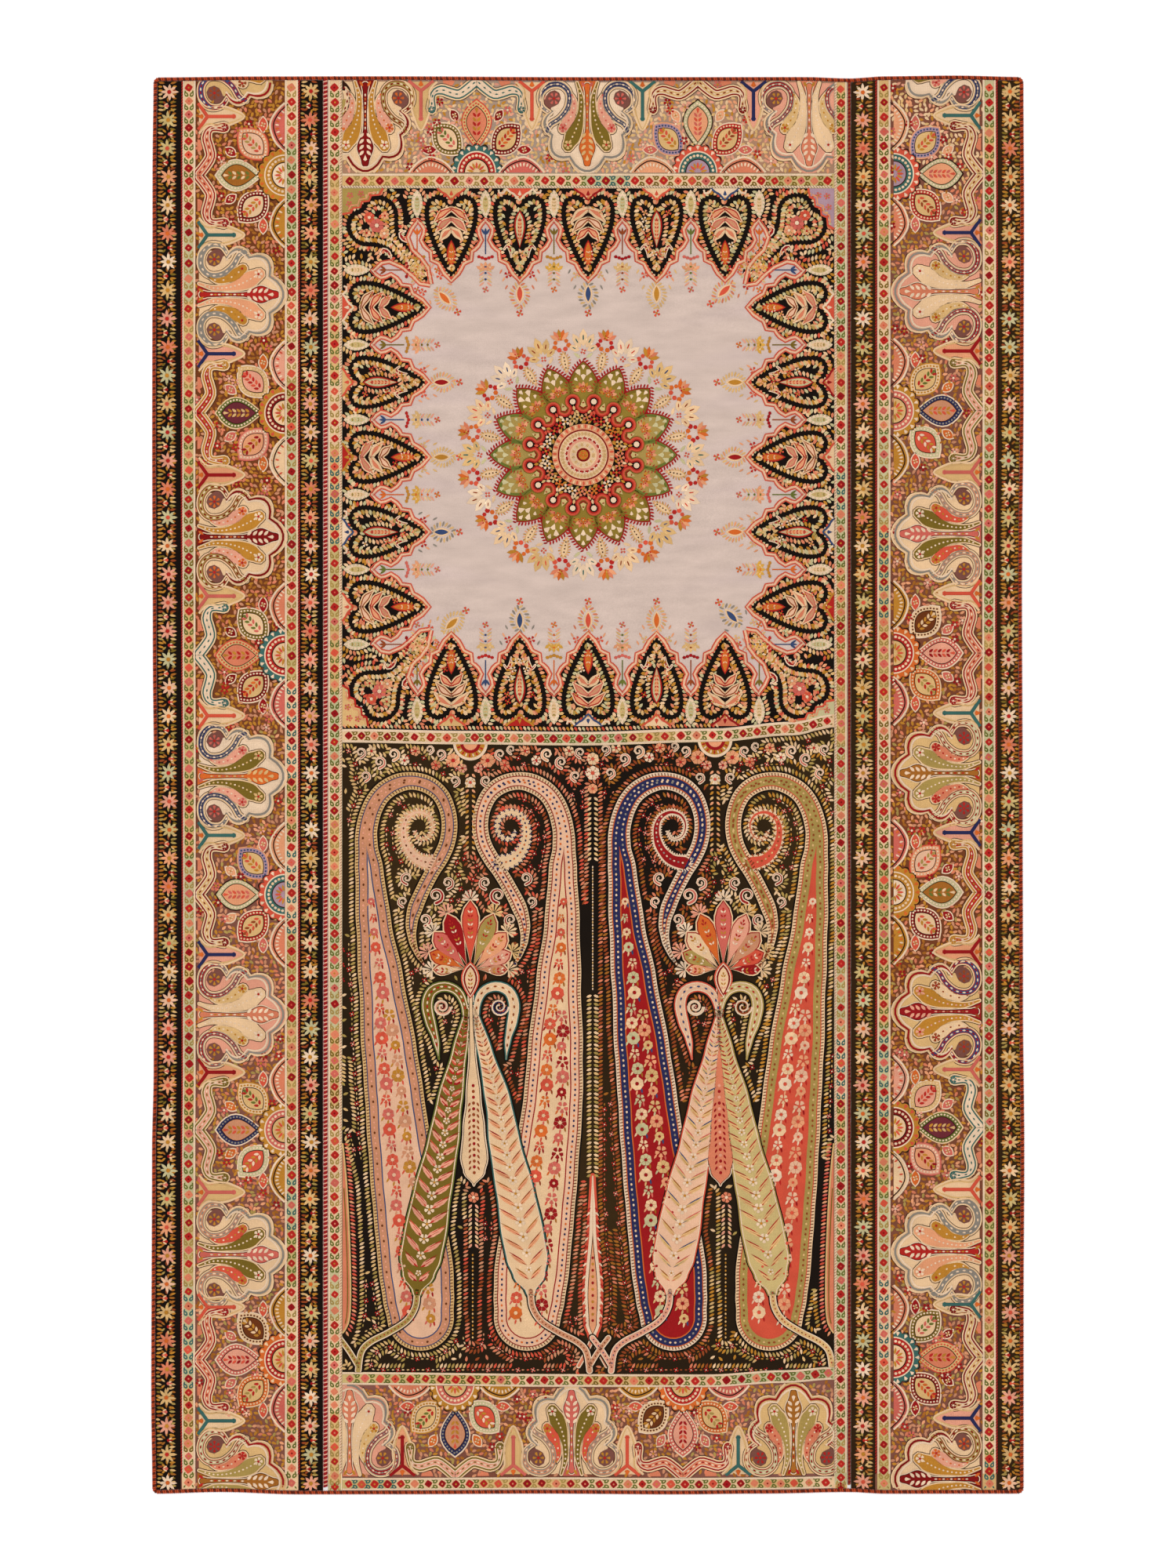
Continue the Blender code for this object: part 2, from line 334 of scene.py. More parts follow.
def addFill(work, shape, dye, level=0, mark=True, wander=0.04):
    held = []
    for x, y in shape:
        x = min(max(x, work["left"]), work["right"])
        y = min(max(y, work["top"](x)), work["bottom"](x))
        if not held or math.dist(held[-1], (x, y)) > 0.05:
            held.append((x, y))
    if len(held) > 2:
        work["fills"].append((held, dyeOf(dye, wander), level))
        if mark:
            markTaken(work, held)


def addRow(work, line, dye, width=2.2, level=1, closed=False, wander=0.05, mark=False):
    colour = dyeOf(dye, wander)
    runs, run, whole = [], [], True
    for point in line:
        if isInside(work, *point):
            run.append(point)
        else:
            whole = False
            if len(run) > 1:
                runs.append(run)
            run = []
    if len(run) > 1:
        runs.append(run)
    for part in runs:
        work["rows"].append((part, colour, width, level, closed and whole))
    if mark:
        for x, y in line:
            work["taken"][int(y / 2) % 1000, int(x / 2) % 750] = True


def addStitch(work, kind, x, y, turn, length, width, dye, level=2, wander=0.1, margin=0.8):
    if isInside(work, x, y, margin):
        height = relief["sheetTop"] + relief["levelStep"] * level
        work["stitches"].append((stitchKinds.index(kind), x, y, height, turn, length, width, dyeOf(dye, wander)))


def addNode(tree, kind, settings=None, inputs=None):
    node = tree.nodes.new(kind)
    for name, value in (settings or {}).items():
        setattr(node, name, value)
    for name, value in (inputs or {}).items():
        if isinstance(value, bpy.types.NodeSocket):
            tree.links.new(value, node.inputs[name])
        else:
            node.inputs[name].default_value = value
    return node


def newTree(name, sockets):
    tree = bpy.data.node_groups.new(name, "GeometryNodeTree")
    tree.interface.new_socket("Geometry", in_out="INPUT", socket_type="NodeSocketGeometry")
    for label, kind in sockets:
        tree.interface.new_socket(label, in_out="INPUT", socket_type=kind)
    tree.interface.new_socket("Geometry", in_out="OUTPUT", socket_type="NodeSocketGeometry")
    return tree, addNode(tree, "NodeGroupInput"), addNode(tree, "NodeGroupOutput")


def threadMap(tree, geometry, across, along):
    # keeps where each corner lies on its own thread, in millimetres, for the wool material
    joined = addNode(tree, "ShaderNodeCombineXYZ", inputs={"X": across, "Y": along})
    stored = addNode(tree, "GeometryNodeStoreNamedAttribute", {"data_type": "FLOAT2", "domain": "CORNER"},
                     {"Geometry": geometry, "Name": "thread"})
    tree.links.new(joined.outputs[0], stored.inputs["Value"])
    return stored.outputs[0]


def namedValue(tree, name, kind="FLOAT"):
    return addNode(tree, "GeometryNodeInputNamedAttribute", {"data_type": kind}, {"Name": name}).outputs[0]


def mathOf(tree, operation, first, second=0.0, group="ShaderNodeMath"):
    node = addNode(tree, group, {"operation": operation}, {0: first, 1: second})
    return node.outputs[0]


def sweep(tree, curve, profile, girth, span):
    # carries a profile along a curve; each corner remembers its place on its thread, in millimetres
    along = addNode(tree, "GeometryNodeCaptureAttribute", inputs={"Geometry": curve})
    along.capture_items.new("FLOAT", "Length")
    tree.links.new(addNode(tree, "GeometryNodeSplineParameter").outputs["Length"], along.inputs[1])
    side = addNode(tree, "GeometryNodeCaptureAttribute", inputs={"Geometry": profile})
    side.capture_items.new("FLOAT", "Side")
    tree.links.new(addNode(tree, "GeometryNodeSplineParameter").outputs["Factor"], side.inputs[1])
    swept = addNode(tree, "GeometryNodeCurveToMesh", inputs={
        "Curve": along.outputs[0], "Profile Curve": side.outputs[0], "Scale": girth})
    across = mathOf(tree, "MULTIPLY", mathOf(tree, "SUBTRACT", side.outputs[1], 0.5), span)
    return threadMap(tree, swept.outputs[0], mathOf(tree, "MULTIPLY", across, 1000.0),
                     mathOf(tree, "MULTIPLY", along.outputs[1], 1000.0))


def dressed(tree, start, end, geometry):
    whole = addNode(tree, "GeometryNodeRealizeInstances", inputs={"Geometry": geometry})
    woolly = addNode(tree, "GeometryNodeSetMaterial", inputs={
        "Geometry": whole.outputs[0], "Material": start.outputs["Wool"]})
    tree.links.new(woolly.outputs[0], end.inputs[0])
    return tree


def rowTree():
    # a crowned line of chain stitch along each drawn line
    tree, start, end = newTree("stitchedRows", (("Crown", "NodeSocketFloat"), ("Wool", "NodeSocketMaterial")))
    curve = addNode(tree, "GeometryNodeMeshToCurve", inputs={"Mesh": start.outputs["Geometry"]})
    upright = addNode(tree, "GeometryNodeSetCurveNormal", {"mode": "Z_UP"}, {"Curve": curve.outputs[0]})
    peak = addNode(tree, "ShaderNodeCombineXYZ", inputs={"Y": mathOf(tree, "MULTIPLY", start.outputs["Crown"], -2.0)})
    profile = addNode(tree, "GeometryNodeCurveQuadraticBezier", inputs={
        "Resolution": 2, "Start": (-0.5, 0, 0), "Middle": peak.outputs[0], "End": (0.5, 0, 0)})
    girth = namedValue(tree, "girth")
    return dressed(tree, start, end, sweep(tree, upright.outputs[0], profile.outputs[0], girth, girth))


def cordTree():
    # yarn overcast round a cord: a plain core, and a slanted turn of yarn at every pitch of the path
    tree, start, end = newTree("overcastCord", (
        ("Width", "NodeSocketFloat"), ("Height", "NodeSocketFloat"), ("Pitch", "NodeSocketFloat"),
        ("Slant", "NodeSocketFloat"), ("First", "NodeSocketColor"), ("Second", "NodeSocketColor"),
        ("Second Share", "NodeSocketFloat"), ("Wool", "NodeSocketMaterial")))
    given = start.outputs
    curve = addNode(tree, "GeometryNodeMeshToCurve", inputs={"Mesh": given["Geometry"]})
    upright = addNode(tree, "GeometryNodeSetCurveNormal", {"mode": "Z_UP"}, {"Curve": curve.outputs[0]})
    ring = addNode(tree, "GeometryNodeCurvePrimitiveCircle", inputs={"Resolution": 8, "Radius": 0.5})
    flat = addNode(tree, "ShaderNodeCombineXYZ", inputs={"X": given["Width"], "Y": given["Height"], "Z": 1.0})
    core = addNode(tree, "GeometryNodeTransform", inputs={"Geometry": ring.outputs[0], "Scale": flat.outputs[0]})
    coreMesh = sweep(tree, upright.outputs[0], core.outputs[0], 0.9, 0.004)
    coreDyed = addNode(tree, "GeometryNodeStoreNamedAttribute", {"data_type": "FLOAT_COLOR", "domain": "POINT"},
                       {"Geometry": coreMesh, "Name": "dye", "Value": given["Second"]})
    tall = addNode(tree, "ShaderNodeCombineXYZ", inputs={"X": given["Height"], "Y": given["Width"], "Z": 1.0})
    lean = addNode(tree, "ShaderNodeCombineXYZ", inputs={"Y": math.pi / 2, "Z": given["Slant"]})
    hoop = addNode(tree, "GeometryNodeTransform", inputs={
        "Geometry": ring.outputs[0], "Scale": tall.outputs[0], "Rotation": lean.outputs[0]})
    yarn = addNode(tree, "GeometryNodeCurvePrimitiveCircle", inputs={
        "Resolution": 3, "Radius": mathOf(tree, "MULTIPLY", given["Pitch"], 0.46)})
    turnMesh = sweep(tree, hoop.outputs[0], yarn.outputs[0], 1.0, 0.003)
    steps = addNode(tree, "GeometryNodeResampleCurve", {"mode": "LENGTH"},
                    {"Curve": upright.outputs[0], "Length": given["Pitch"]})
    tangent = addNode(tree, "GeometryNodeInputTangent")
    facing = addNode(tree, "FunctionNodeAlignRotationToVector", {"axis": "X"}, {"Vector": tangent.outputs[0]})
    wraps = addNode(tree, "GeometryNodeInstanceOnPoints", inputs={
        "Points": steps.outputs[0], "Instance": turnMesh, "Rotation": facing.outputs[0]})
    index = addNode(tree, "GeometryNodeInputIndex")
    part = mathOf(tree, "FRACT", mathOf(tree, "MULTIPLY", index.outputs[0], given["Second Share"]))
    share = addNode(tree, "ShaderNodeMath", {"operation": "LESS_THAN"}, {0: part, 1: given["Second Share"]})
    mixed = addNode(tree, "ShaderNodeMix", {"data_type": "RGBA"}, {0: share.outputs[0]})
    tree.links.new(given["First"], mixed.inputs[6])
    tree.links.new(given["Second"], mixed.inputs[7])
    wrapsDyed = addNode(tree, "GeometryNodeStoreNamedAttribute", {"data_type": "FLOAT_COLOR", "domain": "INSTANCE"},
                        {"Geometry": wraps.outputs[0], "Name": "dye", "Value": mixed.outputs[2]})
    both = addNode(tree, "GeometryNodeJoinGeometry")
    for part in (coreDyed, wrapsDyed):
        tree.links.new(part.outputs[0], both.inputs[0])
    return dressed(tree, start, end, both.outputs[0])


def stitchTree():
    # single stitches set on points, each with its own kind, turn, size and dye
    tree, start, end = newTree("singleStitches", (("Stitches", "NodeSocketCollection"),
                                                  ("Wool", "NodeSocketMaterial")))
    kinds = addNode(tree, "GeometryNodeCollectionInfo", inputs={
        "Collection": start.outputs["Stitches"], "Separate Children": True, "Reset Children": True})
    turn = addNode(tree, "ShaderNodeCombineXYZ", inputs={"Z": namedValue(tree, "turn")})
    spread = addNode(tree, "GeometryNodeInstanceOnPoints", inputs={
        "Points": start.outputs["Geometry"], "Instance": kinds.outputs[0], "Pick Instance": True,
        "Instance Index": namedValue(tree, "kind", "INT"), "Rotation": turn.outputs[0],
        "Scale": namedValue(tree, "size", "FLOAT_VECTOR")})
    return dressed(tree, start, end, spread.outputs[0])


def stitchMesh(kind):
    # unit stitches: 1 long along x, 1 wide along y, rising to the crown
    crown = 0.00055
    if kind in ("leaf", "drop", "bar"):
        profile = {"leaf": ((0, 0), (0.28, 0.46), (0.68, 0.42), (1, 0)),
                   "drop": ((0, 0), (0.45, 0.3), (0.8, 0.48), (1, 0)),
                   "bar": ((0, 0.42), (0.5, 0.5), (1, 0.42))}[kind]
        points = [(x - 0.5, 0, crown * (1.0 if 0 < x < 1 else half)) for x, half in profile]
        faces = []
        for side in (-1, 1):
            rim = []
            for i, (x, half) in enumerate(profile):
                rim.append(len(points) if half else i)
                if half:
                    points.append((x - 0.5, half * side, 0))
            for i in range(len(profile) - 1):
                face = list(dict.fromkeys((rim[i], rim[i + 1], i + 1, i)))
                faces.append(face[::-side])
    elif kind == "loop":
        count = 7
        turns = [2 * math.pi * i / count for i in range(count)]
        points = [(0.5 * math.cos(t), 0.5 * math.sin(t), 0) for t in turns]
        points += [(0.36 * math.cos(t), 0.34 * math.sin(t), crown) for t in turns]
        points += [(0.2 * math.cos(t), 0.16 * math.sin(t), 0) for t in turns]
        faces = [(a + i, a + (i + 1) % count, a + count + (i + 1) % count, a + count + i)
                 for a in (0, count) for i in range(count)]
    else:
        lobes, count = (4, 12) if kind == "blossom" else (0, 6)
        turns = [2 * math.pi * i / count for i in range(count)]
        radii = [0.5 * (1 - 0.3 * abs(math.sin(2 * t)) ** 3) if lobes else 0.5 for t in turns]
        points = [(r * math.cos(t), r * math.sin(t), 0) for r, t in zip(radii, turns)]
        points.append((0, 0, crown))
        faces = [(i, (i + 1) % count, count) for i in range(count)]
    mesh = bpy.data.meshes.new(kind)
    mesh.from_pydata(points, [], faces)
    threads = mesh.uv_layers.new(name="thread")
    for corner in mesh.loops:
        x, y, z = points[corner.vertex_index]
        threads.data[corner.index].uv = (y * 2.6, x * 7.0)
    return mesh


def objectFrom(name, mesh):
    made = bpy.data.objects.new(name, mesh)
    bpy.context.scene.collection.objects.link(made)
    return made


stitchShelf = bpy.data.collections.new("stitchShelf")
for number, kind in enumerate(stitchKinds):
    stitchShelf.objects.link(bpy.data.objects.new(f"stitch{number}", stitchMesh(kind)))
trees = {"rows": rowTree(), "stitches": stitchTree(), "cord": cordTree()}


def setColours(mesh, colours):
    layer = mesh.attributes.new("dye", "FLOAT_COLOR", "POINT")
    layer.data.foreach_set("color", np.asarray(colours, np.float32).ravel())


def runTree(made, tree, values):
    # gives the tree its inputs, makes the result a plain mesh and drops the modifier
    modifier = made.modifiers.new(tree.name, "NODES")
    modifier.node_group = tree
    for item in tree.interface.items_tree:
        if item.in_out == "INPUT" and item.name in values:
            modifier[item.identifier] = values[item.name]
    bpy.context.view_layer.update()
    evaluated = made.evaluated_get(bpy.context.evaluated_depsgraph_get())
    plain = bpy.data.meshes.new_from_object(evaluated)
    made.modifiers.clear()
    rough = made.data
    made.data = plain
    bpy.data.meshes.remove(rough)
    for name in ("girth", "turn", "size", "kind"):
        if name in plain.attributes:
            plain.attributes.remove(plain.attributes[name])
    return made


def fillObject(work, wool):
    points, faces, colours = [], [], []
    for shape, colour, level in work["fills"]:
        start = len(points)
        height = relief["sheetTop"] + relief["levelStep"] * level
        points.extend((x, y, height) for x, y in shape)
        colours.extend([colour] * len(shape))
        for a, b, c in tessellate_polygon([[Vector((x, y, 0)) for x, y in shape]]):
            (xa, ya), (xb, yb), (xc, yc) = shape[a], shape[b], shape[c]
            area = (xb - xa) * (yc - ya) - (xc - xa) * (yb - ya)
            if abs(area) > 0.01:
                faces.append((start + a, start + b, start + c) if area < 0 else (start + a, start + c, start + b))
    mesh = bpy.data.meshes.new(work["name"] + "_fills")
    mesh.from_pydata(points, [], faces)
    setColours(mesh, colours)
    shape = bmesh.new()
    shape.from_mesh(mesh)
    for axis in (0, 1):
        places = [point[axis] for point in points]
        normal = (1 - axis, axis, 0)
        for cut in np.arange(min(places) + 45, max(places), 45.0):
            place = (cut * (1 - axis), cut * axis, 0)
            bmesh.ops.bisect_plane(shape, geom=shape.verts[:] + shape.edges[:] + shape.faces[:], dist=0.001,
                                   plane_co=place, plane_no=normal)
    bmesh.ops.triangulate(shape, faces=shape.faces[:])
    shape.to_mesh(mesh)
    shape.free()
    flat = np.empty(len(mesh.vertices) * 3, np.float32)
    mesh.vertices.foreach_get("co", flat)
    corners = np.empty(len(mesh.loops), np.int32)
    mesh.loops.foreach_get("vertex_index", corners)
    threads = mesh.uv_layers.new(name="thread")
    planar = flat.reshape(-1, 3)[corners][:, (1, 0)] * unit * 1000
    threads.data.foreach_set("uv", planar.astype(np.float32).ravel())
    mesh.vertices.foreach_set("co", placePoints(flat).astype(np.float32).ravel())
    mesh.materials.append(wool)
    mesh.update()
    return objectFrom(work["name"] + "_fills", mesh)


def rowObject(work, wool):
    points, edges, colours, girths = [], [], [], []
    for line, colour, width, level, closed in work["rows"]:
        start = len(points)
        height = relief["sheetTop"] + relief["levelStep"] * level
        points.extend((x, y, height) for x, y in line)
        edges.extend((start + i, start + i + 1) for i in range(len(line) - 1))
        if closed:
            edges.append((start + len(line) - 1, start))
        colours.extend([colour] * len(line))
        girths.extend([width * unit] * len(line))
    mesh = bpy.data.meshes.new(work["name"] + "_rows")
    mesh.from_pydata(placePoints(points), edges, [])
    setColours(mesh, colours)
    mesh.attributes.new("girth", "FLOAT", "POINT").data.foreach_set("value", girths)
    made = objectFrom(work["name"] + "_rows", mesh)
    return runTree(made, trees["rows"], {"Crown": relief["lineCrown"], "Wool": wool})


def stitchObject(work, wool):
    kinds, xs, ys, heights, turns, lengths, widths, colours = zip(*work["stitches"])
    mesh = bpy.data.meshes.new(work["name"] + "_stitches")
    mesh.from_pydata(placePoints(np.stack([xs, ys, heights], 1)), [], [])
    setColours(mesh, colours)
    sizes = np.stack([np.array(lengths) * unit, np.array(widths) * unit, np.ones(len(kinds))], 1)
    mesh.attributes.new("kind", "INT", "POINT").data.foreach_set("value", kinds)
    mesh.attributes.new("turn", "FLOAT", "POINT").data.foreach_set("value", -np.array(turns))
    mesh.attributes.new("size", "FLOAT_VECTOR", "POINT").data.foreach_set("vector", sizes.ravel())
    made = objectFrom(work["name"] + "_stitches", mesh)
    return runTree(made, trees["stitches"], {"Stitches": stitchShelf, "Wool": wool})


def newMaterial(name):
    material = bpy.data.materials.new(name)
    material.use_nodes = True
    tree = material.node_tree
    return material, tree, tree.nodes["Principled BSDF"]


def woolMaterial(name, rowWidth=2.8, linkLength=3.4, gapShadeStrength=0.42, fuzz=0.16, streak=(1.0, 1.0, 1.0)):
    # worsted wool in chain stitch: rows of small links with shadow between them, painted shade that darkens the base
    # colour in the dips towards a warm brown besides their bump, and a soft, dry sheen
    material, tree, shader = newMaterial(name)
    dye = addNode(tree, "ShaderNodeAttribute", {"attribute_name": "dye"})
    thread = addNode(tree, "ShaderNodeUVMap", {"uv_map": "thread"})
    parts = addNode(tree, "ShaderNodeSeparateXYZ", inputs={0: thread.outputs[0]})
    place = addNode(tree, "ShaderNodeTexCoord").outputs["Object"]
    row = mathOf(tree, "FRACT", mathOf(tree, "ADD", mathOf(tree, "DIVIDE", parts.outputs[0], rowWidth), 0.5))
    rowSide = mathOf(tree, "ABSOLUTE", mathOf(tree, "MULTIPLY_ADD", row, 2.0))
    rowSide.node.inputs[2].default_value = -1.0
    slant = mathOf(tree, "ADD", mathOf(tree, "DIVIDE", parts.outputs[1], linkLength),
                   mathOf(tree, "MULTIPLY", rowSide, 0.45))
    link = mathOf(tree, "ABSOLUTE", mathOf(tree, "MULTIPLY_ADD", mathOf(tree, "FRACT", slant), 2.0))
    link.node.inputs[2].default_value = -1.0
    rowDip = mathOf(tree, "POWER", rowSide, 4.0)
    linkDip = mathOf(tree, "POWER", link, 5.0)
    dip = mathOf(tree, "MINIMUM", mathOf(tree, "ADD", rowDip, mathOf(tree, "MULTIPLY", linkDip, 0.6)), 1.0)
    fibre = addNode(tree, "ShaderNodeTexNoise", inputs={"Vector": place, "Scale": 1100.0, "Detail": 2.0})
    drawn = addNode(tree, "ShaderNodeVectorMath", {"operation": "MULTIPLY"}, {0: place, 1: streak})
    lot = addNode(tree, "ShaderNodeTexNoise", inputs={"Vector": drawn.outputs[0], "Scale": 34.0, "Detail": 5.0})
    lightness = addNode(tree, "ShaderNodeMapRange", inputs={
        "Value": lot.outputs["Fac"], "From Min": 0.3, "From Max": 0.7, "To Min": 0.92, "To Max": 1.08})
    fuzzy = addNode(tree, "ShaderNodeMapRange", inputs={
        "Value": fibre.outputs["Fac"], "From Min": 0.3, "From Max": 0.7, "To Min": 1 - fuzz, "To Max": 1 + fuzz})
    shade = mathOf(tree, "MULTIPLY", lightness.outputs[0], fuzzy.outputs[0])
    # painted shade: where rows and links dip, the base colour is pulled towards a warm dark brown, standing in for the
    # shadow and warm bounce light between the threads
    paintedGapShade = addNode(tree, "ShaderNodeMix", {"data_type": "RGBA"}, {0: mathOf(tree, "MULTIPLY", dip, gapShadeStrength)})
    paintedGapShade.inputs[6].default_value = (1.0, 1.0, 1.0, 1.0)
    paintedGapShade.inputs[7].default_value = (0.34, 0.13, 0.05, 1.0)
    tinted = addNode(tree, "ShaderNodeVectorMath", {"operation": "MULTIPLY"},
                     {0: dye.outputs["Color"], 1: paintedGapShade.outputs[2]})
    colour = addNode(tree, "ShaderNodeVectorMath", {"operation": "SCALE"}, {0: tinted.outputs[0], "Scale": shade})
    height = mathOf(tree, "ADD", mathOf(tree, "MULTIPLY", dip, -1.0),
                    mathOf(tree, "MULTIPLY", fibre.outputs["Fac"], 0.5))
    bump = addNode(tree, "ShaderNodeBump", inputs={"Height": height, "Strength": 0.7, "Distance": 0.0006})
    tree.links.new(colour.outputs[0], shader.inputs["Base Color"])
    tree.links.new(bump.outputs[0], shader.inputs["Normal"])
    shader.inputs["Roughness"].default_value = 0.92
    shader.inputs["Specular IOR Level"].default_value = 0.08
    shader.inputs["Sheen Weight"].default_value = 0.03
    shader.inputs["Sheen Roughness"].default_value = 0.5
    return material


wool = {
    # each wool's gap strength sets how dark its painted shade between rows and links is
    "ground": woolMaterial("worstedWoolGroundInChainStitch", gapShadeStrength=0.34, fuzz=0.12, streak=(0.5, 1.7, 1.0)),
    "stitch": woolMaterial("worstedWoolChainStitch", gapShadeStrength=0.6),
    "cord": woolMaterial("thickWoolOvercastYarn", rowWidth=4.0, linkLength=1.6, gapShadeStrength=0.3, fuzz=0.2),
}


# Cloths, each with its own dyed ground.
sides = {
    "left": draft["left"] + meanDraw["left"] / unit + draft["bindingWidth"],
    "right": draft["left"] + draft["width"] - meanDraw["right"] / unit - draft["bindingWidth"],
    "top": draft["top"] + meanDraw["top"] / unit + draft["bindingWidth"],
    "bottom": draft["top"] + draft["height"] - meanDraw["bottom"] / unit - draft["bindingWidth"],
}
middleLeft, middleRight = 436.6, 1063.8
halfBand = {"middle": 8.5, "low": 8.2}
clothPlan = {
    "border_panel_left": (sides["left"], 412.1, sides["top"], sides["bottom"]),
    "border_panel_right": (1085.4, sides["right"], sides["top"], sides["bottom"]),
    "end_border_top": (middleLeft, middleRight, sides["top"], 221.4),
    "field_medallion": (middleLeft, middleRight, 240.6, lambda x: bandY("middle", x) - halfBand["middle"]),
    "field_paisley": (middleLeft, middleRight, lambda x: bandY("middle", x) + halfBand["middle"],
                      lambda x: bandY("low", x) - halfBand["low"]),
    "end_border_bottom": (middleLeft, middleRight, lambda x: bandY("low", x) + halfBand["low"], 1883.8),
    "band_top": (middleLeft, middleRight, 221.7, 240.3),
    "band_middle": (middleLeft, middleRight, lambda x: bandY("middle", x) - halfBand["middle"],
                    lambda x: bandY("middle", x) + halfBand["middle"]),
    "band_low": (middleLeft, middleRight, lambda x: bandY("low", x) - halfBand["low"],
                 lambda x: bandY("low", x) + halfBand["low"]),
    "band_bottom": (middleLeft, middleRight, 1884.1, sides["bottom"]),
    "band_left": (418.6, 436.3, sides["top"], sides["bottom"]),
    "band_right": (1064.1, 1080.6, sides["top"], sides["bottom"]),
}
works = {name: newWork(name, *plan) for name, plan in clothPlan.items()}


def mixDyes(first, second, share):
    share = min(max(share, 0.0), 1.0)
    return tuple(a + (b - a) * share for a, b in zip(dyes[first], dyes[second])) + (1.0,)


def groundDye(name, x, y):
    # the wool of each ground, with the places where one dye lot gave way to the next
    if name == "border_panel_left":
        return mixDyes("umber", "mauve", min(max((y - 860) / 500, 0.0), 0.6))
    if name == "border_panel_right":
        return mixDyes("umber", "mauve", 0.3 + 0.25 * math.sin(y / 240))
    if name == "end_border_top":
        return mixDyes("taupe", "greyBlue", 0.35 + 0.2 * math.sin(x / 90))
    if name == "end_border_bottom":
        return mixDyes("mauve", "umber", 0.4 + 0.25 * math.sin(x / 90))
    if name == "field_medallion":
        return mixDyes("field", "lilac", 0.08 + 0.1 * math.sin(y / 9 + 2 * math.sin(x / 70)) + 0.2 * math.sin(x / 160))
    if name == "field_paisley":
        return mixDyes("black", "oliveBlack", 0.4 + 0.6 * math.sin(x / 83 + 1.5) * math.sin(y / 140))
    return dyes["cream"] + (1.0,)


def sheetObject(name, work, spacing=9.0):
    # a thin closed cloth whose outline is its plan's, wandering sides included
    low, high = relief["sheetBottom"], relief["sheetTop"]
    columns = max(2, round((work["right"] - work["left"]) / spacing))
    rows = max(2, round((work["bottom"](work["left"]) - work["top"](work["left"])) / spacing))
    points, colours = [], []
    for height in (high, low):
        for j in range(rows + 1):
            for i in range(columns + 1):
                x = work["left"] + (work["right"] - work["left"]) * i / columns
                y = work["top"](x) + (work["bottom"](x) - work["top"](x)) * j / rows
                points.append((x, y, height))
                colours.append(groundDye(name, x, y))
    across, layer = columns + 1, (columns + 1) * (rows + 1)
    faces = []
    for j in range(rows):
        for i in range(columns):
            a = j * across + i
            faces.append((a, a + across, a + across + 1, a + 1))
            faces.append((layer + a, layer + a + 1, layer + a + across + 1, layer + a + across))
    rim = [i for i in range(across)] + [j * across + columns for j in range(1, rows + 1)]
    rim += [rows * across + i for i in range(columns - 1, -1, -1)] + [j * across for j in range(rows - 1, 0, -1)]
    for a, b in zip(rim, rim[1:] + rim[:1]):
        faces.append((a, b, layer + b, layer + a))
    mesh = bpy.data.meshes.new(name + "_cloth")
    mesh.from_pydata(placePoints(points), [], faces)
    setColours(mesh, colours)
    threads = mesh.uv_layers.new(name="thread")
    corners = np.empty(len(mesh.loops), np.int32)
    mesh.loops.foreach_get("vertex_index", corners)
    planar = np.array(points)[corners][:, (1, 0)] * unit * 1000
    threads.data.foreach_set("uv", planar.astype(np.float32).ravel())
    mesh.materials.append(wool["ground"])
    return objectFrom(name + "_cloth", mesh)


# Guards: narrow strips of small flowers. A strip runs along y at a fixed x, or along x on a line of y.
lightGuard = {
    "blocks": ("cream", "mint", "cream", "straw", "paleGreen", "cream", "mint", "straw"),
    "blossoms": ("red", "crimson", "coral", "red", "salmon", "crimson", "rose", "red"),
    "leaves": ("leaf", "sage", "leaf", "olive", "leaf", "teal", "sage"),
    "pitch": 18.0,
}


def stripPlace(upright, centre, along, aside):
    # a place in a strip, from its distance along and its distance to the side
    middle = centre(along) if callable(centre) else centre
    return (middle + aside, along) if upright else (along, middle + aside)


def workLightGuard(work, upright, centre, start, end, width=17.0, level=1):
    half = width / 2
    turn = math.pi / 2 if upright else 0.0
    at, block = start, rng.randrange(8)
    while at < end:
        reach = min(at + rng.uniform(55, 130), end)
        count = max(1, round((reach - at) / 30))
        stops = [at + (reach - at) * k / count for k in range(count + 1)]
        shape = [stripPlace(upright, centre, s, -half) for s in stops]
        shape += [stripPlace(upright, centre, s, half) for s in reversed(stops)]
        addFill(work, shape, lightGuard["blocks"][block % 8], level)
        leafDye = rng.choice(lightGuard["leaves"])
        count = max(1, round((reach - at) / lightGuard["pitch"]))
        pitch = (reach - at) / count
        for k in range(count):
            spot = at + pitch * (k + 0.5)
            x, y = stripPlace(upright, centre, spot, rng.uniform(-0.5, 0.5))
            blossom = rng.choice(lightGuard["blossoms"])
            size = rng.uniform(10.0, 12.0)
            addStitch(work, "blossom", x, y, turn + rng.uniform(-0.2, 0.2), size, size, blossom, level + 1)
            addStitch(work, "dot", x, y, 0, 2.6, 2.6, rng.choice(("salmon", "gold", "deepRed", "coral")), level + 4)
            for side in (-1, 1):
                x, y = stripPlace(upright, centre, spot + pitch / 2, side * half * 0.44)
                lean = turn + side * rng.uniform(0.5, 0.8)
                addStitch(work, "loop", x, y, lean, 7.6, 5.4, leafDye, level + 1)
                x, y = stripPlace(upright, centre, spot + pitch * 0.3, side * half * 0.62)
                addStitch(work, "leaf", x, y, turn - side * 0.6, 4.2, 2.0, leafDye, level + 1)
        at, block = reach, block + rng.randrange(1, 4)
    stops = np.arange(start, end + 0.1, 12.0 if callable(centre) else 24.0)
    for side in (-1, 1):
        line = [stripPlace(upright, centre, s, side * (half - 1.3)) for s in stops]
        addRow(work, line, "ivory", 2.4, level + 2)


